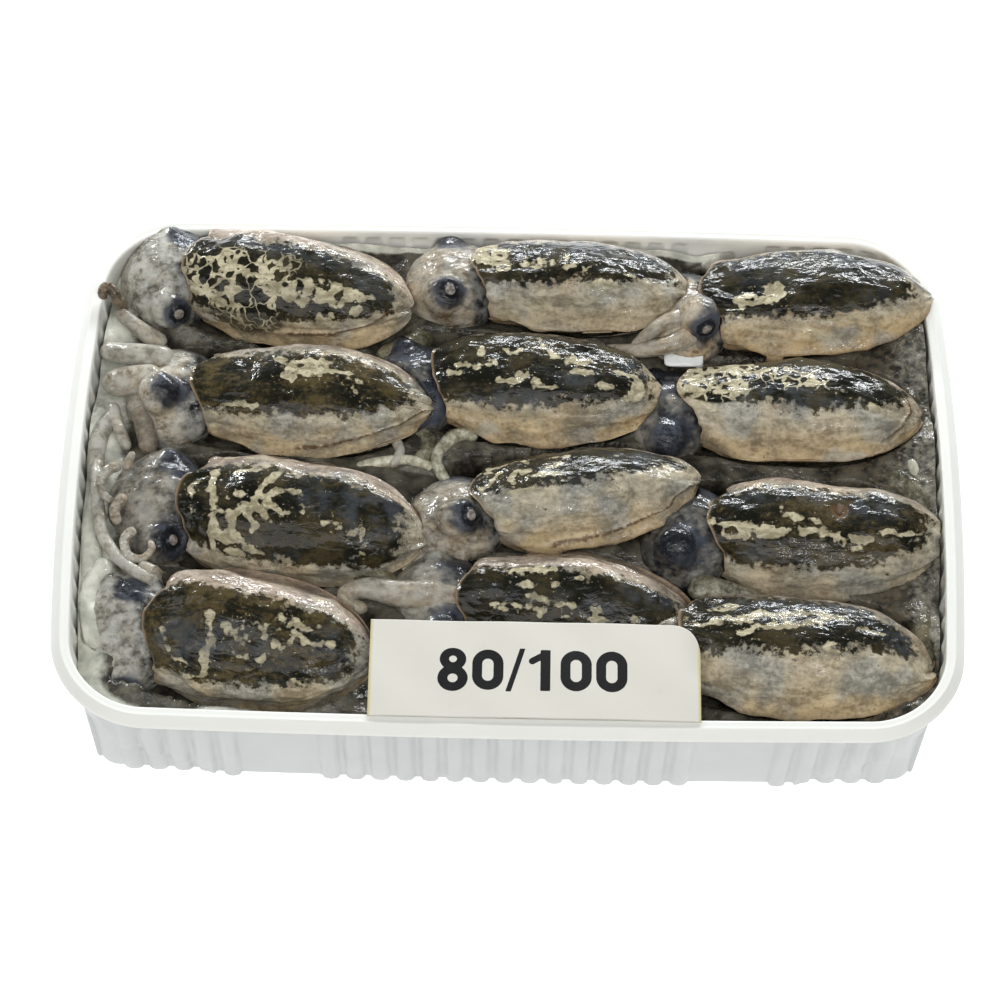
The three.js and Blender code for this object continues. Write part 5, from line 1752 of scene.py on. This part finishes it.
def edge_faces(rows, columns):
    """Faces that join the edges of two equal grids, numbered one after the other."""
    last_row, last_column = (rows - 1) * columns, columns - 1
    edge = list(range(columns)) + [r * columns + last_column for r in range(1, rows)]
    edge += [last_row + c for c in range(columns - 2, -1, -1)]
    edge += [r * columns for r in range(rows - 2, 0, -1)]
    half = rows * columns
    return [(a, a + half, b + half, b) for a, b in zip(edge, edge[1:] + edge[:1])]


def add_label():
    across, up = paper_grid()
    centre_x, centre_y = LABEL["centre"]
    top = np.stack([across + centre_x, up + centre_y, paper_height(across, up) + 0.15], -1)
    low = top - [0, 0, 0.35]
    rows, columns = across.shape
    flat = np.concatenate([top.reshape(-1, 3), low.reshape(-1, 3)])
    half = rows * columns
    faces = ring_faces(rows, columns, closed=False)
    faces += [tuple(i + half for i in face[::-1]) for face in faces]
    faces += edge_faces(rows, columns)
    ink = np.concatenate([ink_distance(across, up + 0.2).ravel(), np.full(half, FAR_AWAY)])
    from_side = LABEL["length"] / 2 - np.abs(across)
    from_front = 2.5 * (LABEL["depth"] / 2 - np.abs(up)) + 1.0
    border = np.minimum(from_side, from_front).ravel()
    marks = {"ink": ink, "border": np.tile(border, 2)}
    label = make_object("paper_label", flat, faces, label_paper(), marks)
    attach(label, "root")
    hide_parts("label")
    return label


print("label faces", len(add_label().data.polygons))

# %% [markdown]
# ## The white flake
# A small white flake shows between a body of the back row and one of the second. It is a flat bar with
# rounded corners and a softly rounded edge, in the same frame as its CAD solid.

# %% The flake
CHIP = {"length": 15.0, "depth": 5.5, "thick": 1.6, "centre": (58.5, 46.5, 48.0), "tilt": 12.0,
        "square": 0.28}
CHIP_EDGE = ((0.02, 0.0), (0.4, 0.02), (0.75, 0.04), (0.93, 0.16), (1.0, 0.45), (0.985, 0.72),
             (0.93, 0.9), (0.8, 0.97), (0.5, 1.0), (0.2, 1.0))  # share of the size, and of the height


def chip_shape():
    turn = np.linspace(0, 2 * np.pi, 90, endpoint=False)
    x, y = (np.sign(way) * np.abs(way) ** CHIP["square"] for way in (np.cos(turn), np.sin(turn)))
    rim = np.stack([x * CHIP["length"] / 2 * (0.9 + 0.1 * np.sin(turn)), y * CHIP["depth"] / 2], -1)
    rows = [np.column_stack([rim * share, np.full(len(rim), height * CHIP["thick"])])
            for share, height in CHIP_EDGE]
    points = np.concatenate(rows)
    points[:, 2] += 0.18 * lumps(points, 3, 5)
    top_tip, top_ring = len(points), len(points) - len(turn)
    points = np.concatenate([points, [[0, 0, CHIP["thick"]]]])
    faces = ring_faces(len(rows), len(turn)) + cap_faces(top_ring, len(turn), top_tip)
    tilt = np.array(Matrix.Rotation(math.radians(CHIP["tilt"]), 3, "X"))
    return points @ tilt.T + np.array(CHIP["centre"]), faces


def flake_gloss():
    finish = Finish("white_flake_gloss")
    place = finish.place()
    cloud = finish.noise(place, 4, 4)
    colour = finish.blend(cloud, (0.70, 0.73, 0.73), (0.92, 0.94, 0.92))
    relief = finish.bump(finish.noise(place, 1.4, 4), 0.1)
    rough = finish.ramp(cloud, 0.3, 0.7, 0.15, 0.35)
    return finish.finish(Base_Color=colour, Roughness=rough, Normal=relief, IOR=1.45, Coat_Weight=0.4)


def add_chip():
    points, faces = chip_shape()
    chip = make_object("white_flake", points, faces, flake_gloss())
    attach(chip, "root")
    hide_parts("chip")
    return chip


print("flake faces", len(add_chip().data.polygons))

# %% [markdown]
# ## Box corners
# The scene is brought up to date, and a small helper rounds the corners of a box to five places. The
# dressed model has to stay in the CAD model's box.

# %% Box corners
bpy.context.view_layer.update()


def plain(box):
    return [[round(float(v), 5) for v in corner] for corner in box]
